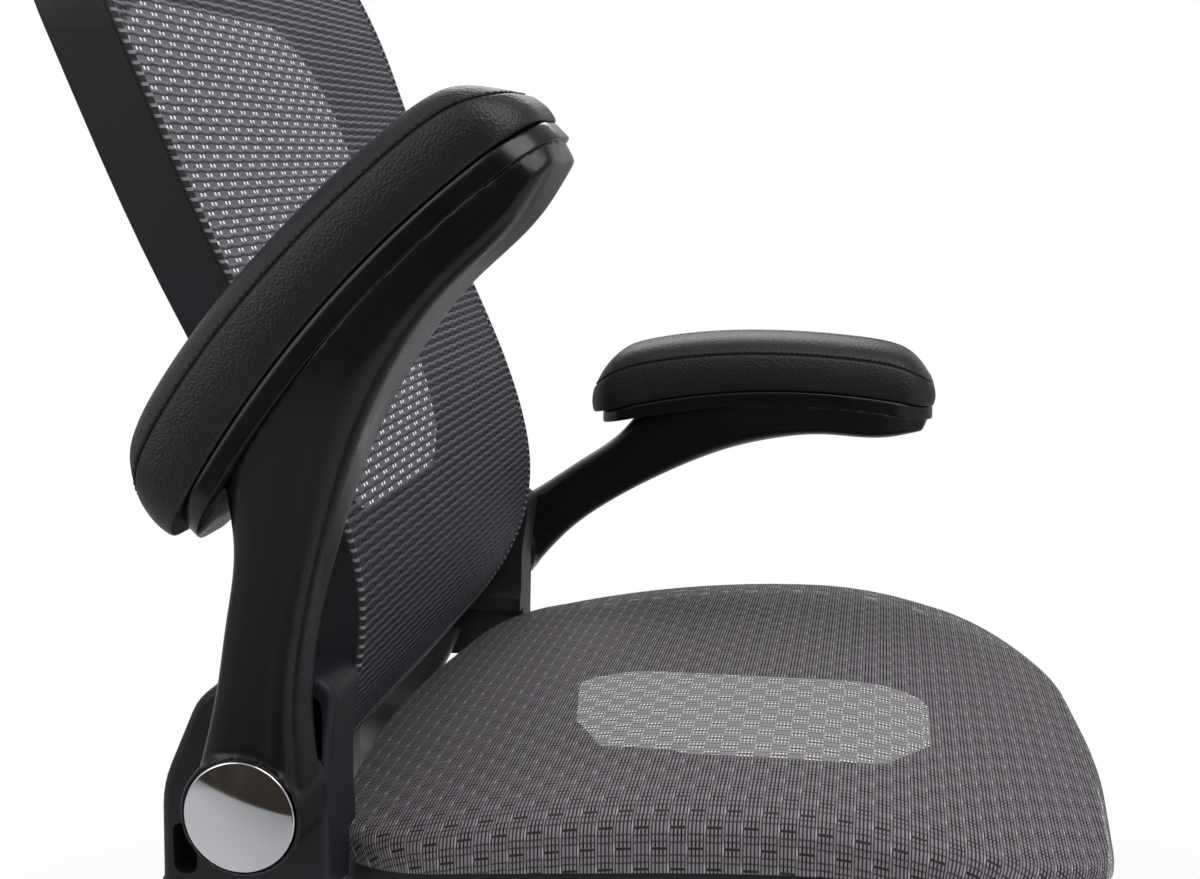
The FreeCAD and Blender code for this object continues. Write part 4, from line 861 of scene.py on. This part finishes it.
def lay_flat(piece, flat):
    """Stores flat coordinates, one pair for each point, as the UV map of the weave."""
    layer = piece.data.uv_layers.new(name="flat")
    points = np.zeros(len(piece.data.loops), np.int32)
    piece.data.loops.foreach_get("vertex_index", points)
    layer.data.foreach_set("uv", flat[points].astype(np.float32).ravel())


def ring_sheet(name, rings, flat_rings, finish):
    """Sheet from rings that shrink to a last point, with flat coordinates."""
    count, points = rings.shape[:2]
    places = [tuple(p) for p in rings.reshape(-1, 3)] + [tuple(rings[-1].mean(axis=0))]
    flat = np.concatenate([flat_rings.reshape(-1, 2), flat_rings[-1].mean(axis=0)[None]])
    faces = ring_faces(count, points)
    last = (count - 1) * points
    faces += [(last + j, last + (j + 1) % points, len(places) - 1) for j in range(points)]
    piece = shaped(name, places, faces, finish)
    lay_flat(piece, flat)
    return piece

# %% [markdown]
# ## Back sheet
# The back sheet is stretched over the front rim of the back frame, so it takes the S-line of the
# rim. Its flat length is measured along that line, which keeps the ribs evenly spaced where the
# sheet leans back.

# %% Back sheet
# S-line of the back: (y, z) from the arm axis.
BACK_LINE = [(0.018, -0.044), (-0.022, 0.016), (-0.0365, 0.085), (-0.0275, 0.134), (0.030, 0.268),
             (0.081, 0.400), (0.127, 0.512)]
# Half width, height and corner radius at the foot, the waist, the shoulder and the top's middle, and
# which way an inset changes each.
BACK_CORNERS = [((0.219, -0.016, 0.058), (-1, 1, -1)), ((0.221, 0.120, 0.800), (-1, 0, 0)),
                ((0.251, 0.490, 0.100), (-1, -1, -1)), ((0.0, 0.500, 1.5), (0, -1, 0))]
EDGING_IN, EDGING_OUT, TURNED_EDGE = 0.007, 0.001, 0.001
back_line = through(BACK_LINE, 240)
back_gone = lengths(back_line)


def back_outline(inset):
    """Front view of the back's rim, set in by some distance."""
    *right, middle = [np.add(corner, np.multiply(change, inset)) for corner, change in BACK_CORNERS]
    return rounded_outline(with_mirror(right, middle), spacing=0.006)


def on_back(flat_points, proud):
    """Front-view points (x, z) set on the S-line, a little proud of it."""
    y = np.interp(flat_points[..., 1], back_line[:, 1], back_line[:, 0]) - proud
    return np.stack([flat_points[..., 0], ARM_AXIS.y + y, ARM_AXIS.z + flat_points[..., 1]], axis=-1)


def back_flat(points):
    """Flat coordinates of front-view points, measured along the S-line."""
    return np.stack([points[..., 0], np.interp(points[..., 1], back_line[:, 1], back_gone)], axis=-1)


outline = back_outline(EDGING_IN - TURNED_EDGE)
middle = outline.mean(axis=0)
back_rings = np.array([middle + (outline - middle) * s for s in np.linspace(1.0, 0.02, 56)])
back_sheet = ring_sheet("back_sheet", on_back(back_rings, 0.0), back_flat(back_rings), back_mesh)

# %% [markdown]
# ## Edging of the back
# A narrow woven strip is pressed into the rim all round the sheet. Its black bars show as a row of
# dashes. It is a thin strip with a rounded section; its length along the outline drives the dashes.

# %% Edging material
edging, tree, shader = start_material("back_edging")
flat = add(tree, "SeparateXYZ", {0: flat_place(tree)}).outputs
dash = ramp(apart(maths("FRACT", maths("DIVIDE", flat["X"], RIB_PITCH)), 0.5), 0.36, 0.29)
# Painted shade: the strip is dark along its outer edge, where it turns down into the rim.
strip = times(minus(1.0, dash), ramp(flat["Y"], 0.04, 0.07))
give(shader, {"Base Color": mixed(strip, (0.004, 0.004, 0.005), (0.240, 0.240, 0.255)),
              "Normal": relief(strip, 0.0008, 0.8), "Roughness": 0.6})
print("material", edging.name)

# %% Edging strip
# Share of the strip's width, and how proud of the sheet it stands there.
EDGING_SECTION = ((0.0, -0.0050), (0.08, 0.0003), (0.3, 0.0012), (0.6, 0.0010), (0.9, 0.0004),
                  (1.0, -0.0008))
outer = back_outline(EDGING_OUT)
strip_width = EDGING_IN - EDGING_OUT
edging_rings, edging_flat = [], []
gone = lengths(outer)
for share, proud in EDGING_SECTION:
    edging_rings.append(on_back(outer + inward_of(outer) * strip_width * share, proud))
    edging_flat.append(np.stack([gone, np.full(len(gone), share)], axis=1))
edging_strip = skin("back_edging_strip", np.array(edging_rings), edging, close_ends=False)
lay_flat(edging_strip, np.concatenate(edging_flat))
print("edging", len(edging_strip.data.polygons), "faces")

# %% [markdown]
# The back doesn't move by itself: it is bolted to the seat's mechanism, so sheet and strip ride on the
# seat's body.

# %% Back pieces take their places
back_pieces = ((back_sheet, "back_mesh", "back_fabric"), (edging_strip, "back_mesh_edging", "edging"))
for piece, node, slot in back_pieces:
    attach(piece, "seat")
    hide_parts(node)
print("back dressed with", [piece.name for piece, node, slot in back_pieces])

# %% [markdown]
# ## Seat sheet
# The seat cloth is stretched over the seat pan: nearly level on top, rolled over the rim and pulled
# down to a hem. The rings shrink from the hem up over the roll and in to the middle. Flat
# coordinates go on outward past the rim, as the cloth itself does.

# %% Seat shape
SEAT_HALF, SEAT_REAR, SEAT_FRONT, CREST_Y, SEAT_TOP = 0.247, 0.230, -0.236, -0.045, 0.470
SEAT_CORNERS, SEAT_BOW_R = [(SEAT_HALF, 0.202, 0.075), (SEAT_HALF, -0.220, 0.115)], 0.8
REAR_FALL, FRONT_FALL = 0.047, 0.062
SEAT_ROLL, SIDE_CROWN, SIDE_ROLL, SIDE_POWER = 0.010, 0.008, 0.018, 40
# Place and height of the hem, from the front to the rear.
SEAT_HEM = [(-0.250, 0.391), (-0.190, 0.419), (-0.105, 0.431), (0.060, 0.424), (0.240, 0.410)]
seat_line = rounded_outline([(0.0, SEAT_REAR, SEAT_BOW_R)]
                            + with_mirror(SEAT_CORNERS, (0.0, SEAT_FRONT, SEAT_BOW_R)), spacing=0.007)
hem_line = through(SEAT_HEM, 100)
hem = np.interp(seat_line[:, 1], hem_line[:, 0], hem_line[:, 1])


def seat_height(x, y):
    """Height of the seat: a crest across it, and sides that stay flat and then roll over."""
    away = y - CREST_Y
    fall = np.where(away > 0, REAR_FALL * (away / (SEAT_REAR - CREST_Y)) ** 2,
                    FRONT_FALL * (away / (SEAT_FRONT - CREST_Y)) ** 2)
    out = np.abs(x / SEAT_HALF)
    return SEAT_TOP - fall - SIDE_CROWN * out**2 - SIDE_ROLL * out**SIDE_POWER


print("seat outline of", len(seat_line), "points")

# %% Seat sheet
outward = inward_of(seat_line)
shoulder = seat_line - outward * SEAT_ROLL
roll_start = seat_height(shoulder[:, 0], shoulder[:, 1]) - SEAT_ROLL
seat_rings, seat_flat = [], []
for share in np.linspace(0.0, 1.0, 7):
    z = hem + (roll_start - hem) * share
    seat_rings.append(np.column_stack([seat_line, z]))
    seat_flat.append(shoulder + outward * (SEAT_ROLL * math.pi / 2 + (roll_start - z))[:, None])
for turn in np.linspace(0, math.pi / 2, 7)[1:]:
    place = shoulder + outward * SEAT_ROLL * math.cos(turn)
    seat_rings.append(np.column_stack([place, roll_start + SEAT_ROLL * math.sin(turn)]))
    seat_flat.append(shoulder + outward * SEAT_ROLL * (math.pi / 2 - turn))
centre = shoulder.mean(axis=0)
for s in np.linspace(1.0, 0.02, 60)[1:]:
    place = centre + (shoulder - centre) * s
    seat_rings.append(np.column_stack([place, seat_height(place[:, 0], place[:, 1])]))
    seat_flat.append(place)
seat_flat = np.array(seat_flat)[..., ::-1]
seat_sheet = ring_sheet("seat_sheet", np.array(seat_rings), seat_flat, seat_mesh)
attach(seat_sheet, "seat")
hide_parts("seat_mesh")

# %% [markdown]
# ## Floor
# The chair stands on a pale floor that keeps its shadow close by, and farther off melts into the white
# room. A mix of two shaders does this, by the kind of ray and by the distance.

# %% Floor
FLOOR_HALF = 9
NEAR_CHAIR, FAR_FROM_CHAIR, NEAR_WHITE = 0.35, 1.3, 0.72
WHITE = (1.0, 1.0, 1.0, 1.0)


def cloudy(tree, scale, detail, low, high):
    """A colour that drifts between two shades."""
    return mixed(noise(object_place(tree), Scale=scale, Detail=detail), low, high)


def seen_rays(path):
    """Mask of the rays that come from the camera, straight or through something clear."""
    return maths("MAXIMUM", path["Is Camera Ray"], path["Is Transmission Ray"])


def white_by(mask, plain, white, output):
    """Shows white in place of a plain shader, by a mask."""
    tree = mask.id_data
    both = add(tree, "MixShader", {0: mask, 1: plain.outputs[0], 2: white.outputs[0]})
    give(tree.nodes[output], {"Surface": both.outputs[0]})


floor_finish, tree, shader = start_material("pale_floor")
give(shader, {"Base Color": cloudy(tree, 3.0, 4.0, (0.80, 0.80, 0.81), (0.84, 0.84, 0.84)),
              "Roughness": 0.8})
position = add(tree, "NewGeometry").outputs["Position"]
away = add(tree, "VectorMath", {0: position}, operation="LENGTH").outputs["Value"]
melt = ramp(away, NEAR_CHAIR, FAR_FROM_CHAIR, NEAR_WHITE, 1.0)
white = add(tree, "Emission", {"Color": WHITE, "Strength": 1.0})
white_by(times(seen_rays(add(tree, "LightPath").outputs), melt), shader, white, "Material Output")
corners = [(a * FLOOR_HALF, b * FLOOR_HALF, 0) for a, b in ((-1, -1), (1, -1), (1, 1), (-1, 1))]
floor = shaped("floor", corners, [(0, 1, 2, 3)], floor_finish)
print("floor", 2 * FLOOR_HALF, "m wide")

# %% [markdown]
# ## Dark card
# A mirror needs something to show. As in any product studio, a dark card stands behind the camera,
# where only the polished cap sees it.

# %% Dark card
CARD_TOP = 1.5
card_finish, tree, shader = start_material("card_cloth")
give(shader, {"Base Color": cloudy(tree, 2.2, 3.0, (0.010, 0.008, 0.007), (0.090, 0.060, 0.040)),
              "Roughness": 0.9})
corners = [(-1.22, -0.38, 0.0), (-3.45, 3.02, 0.0), (-3.45, 3.02, CARD_TOP), (-1.22, -0.38, CARD_TOP)]
card = shaped("dark_card", corners, [(0, 1, 2, 3)], card_finish)
card.visible_camera = False
print("card", CARD_TOP, "m high")

# %% [markdown]
# ## Room
# The room is white to the camera and through the weaves, a soft grey in reflections, and a dim, even
# light for everything else, so that black plastic stays black.

# %% Room
ROOM_LIGHT, ROOM_SHINE = 0.42, 0.25
room = bpy.data.worlds.new("white_room")
scene.world = room
room.use_nodes = True
tree = room.node_tree
soft = tree.nodes["Background"]
give(soft, {"Color": (0.95, 0.97, 1.0, 1.0), "Strength": ROOM_LIGHT})
white = add(tree, "Background", {"Color": WHITE, "Strength": 1.0})
path = add(tree, "LightPath").outputs
seen = maths("MAXIMUM", seen_rays(path), times(path["Is Glossy Ray"], ROOM_SHINE))
white_by(seen, soft, white, "World Output")
print("world", room.name)

# %% [markdown]
# ## Lamps
# Three large soft lamps model the black pieces: a key above the near side, a fill from the rear and a
# rim light from the far side. Large lamps give the long, gentle highlights that show a round moulding.

# %% Lamps
def soft_lamp(name, place, aim, size, watts):
    """A rectangular lamp that looks from its place at its aim."""
    lamp = in_scene(name, bpy.data.lights.new(name, "AREA"))
    lamp.data.shape = "RECTANGLE"
    lamp.data.size, lamp.data.size_y = size
    lamp.data.energy = watts
    aim = Vector(aim) - Vector(place)
    lamp.matrix_world = Matrix.Translation(place) @ aim.to_track_quat("-Z", "Y").to_matrix().to_4x4()


soft_lamp("key_lamp", (-1.3, -0.9, 2.3), (0.0, 0.05, 0.6), (1.6, 1.6), 30.0)
soft_lamp("fill_lamp", (-2.0, 1.7, 1.5), (0.0, 0.2, 0.6), (1.2, 1.6), 12.0)
soft_lamp("rim_lamp", (1.9, 0.4, 2.1), (0.0, 0.1, 0.6), (1.4, 1.2), 18.0)
scene.view_settings.view_transform = "Standard"
print(len(bpy.data.lights), "lamps")
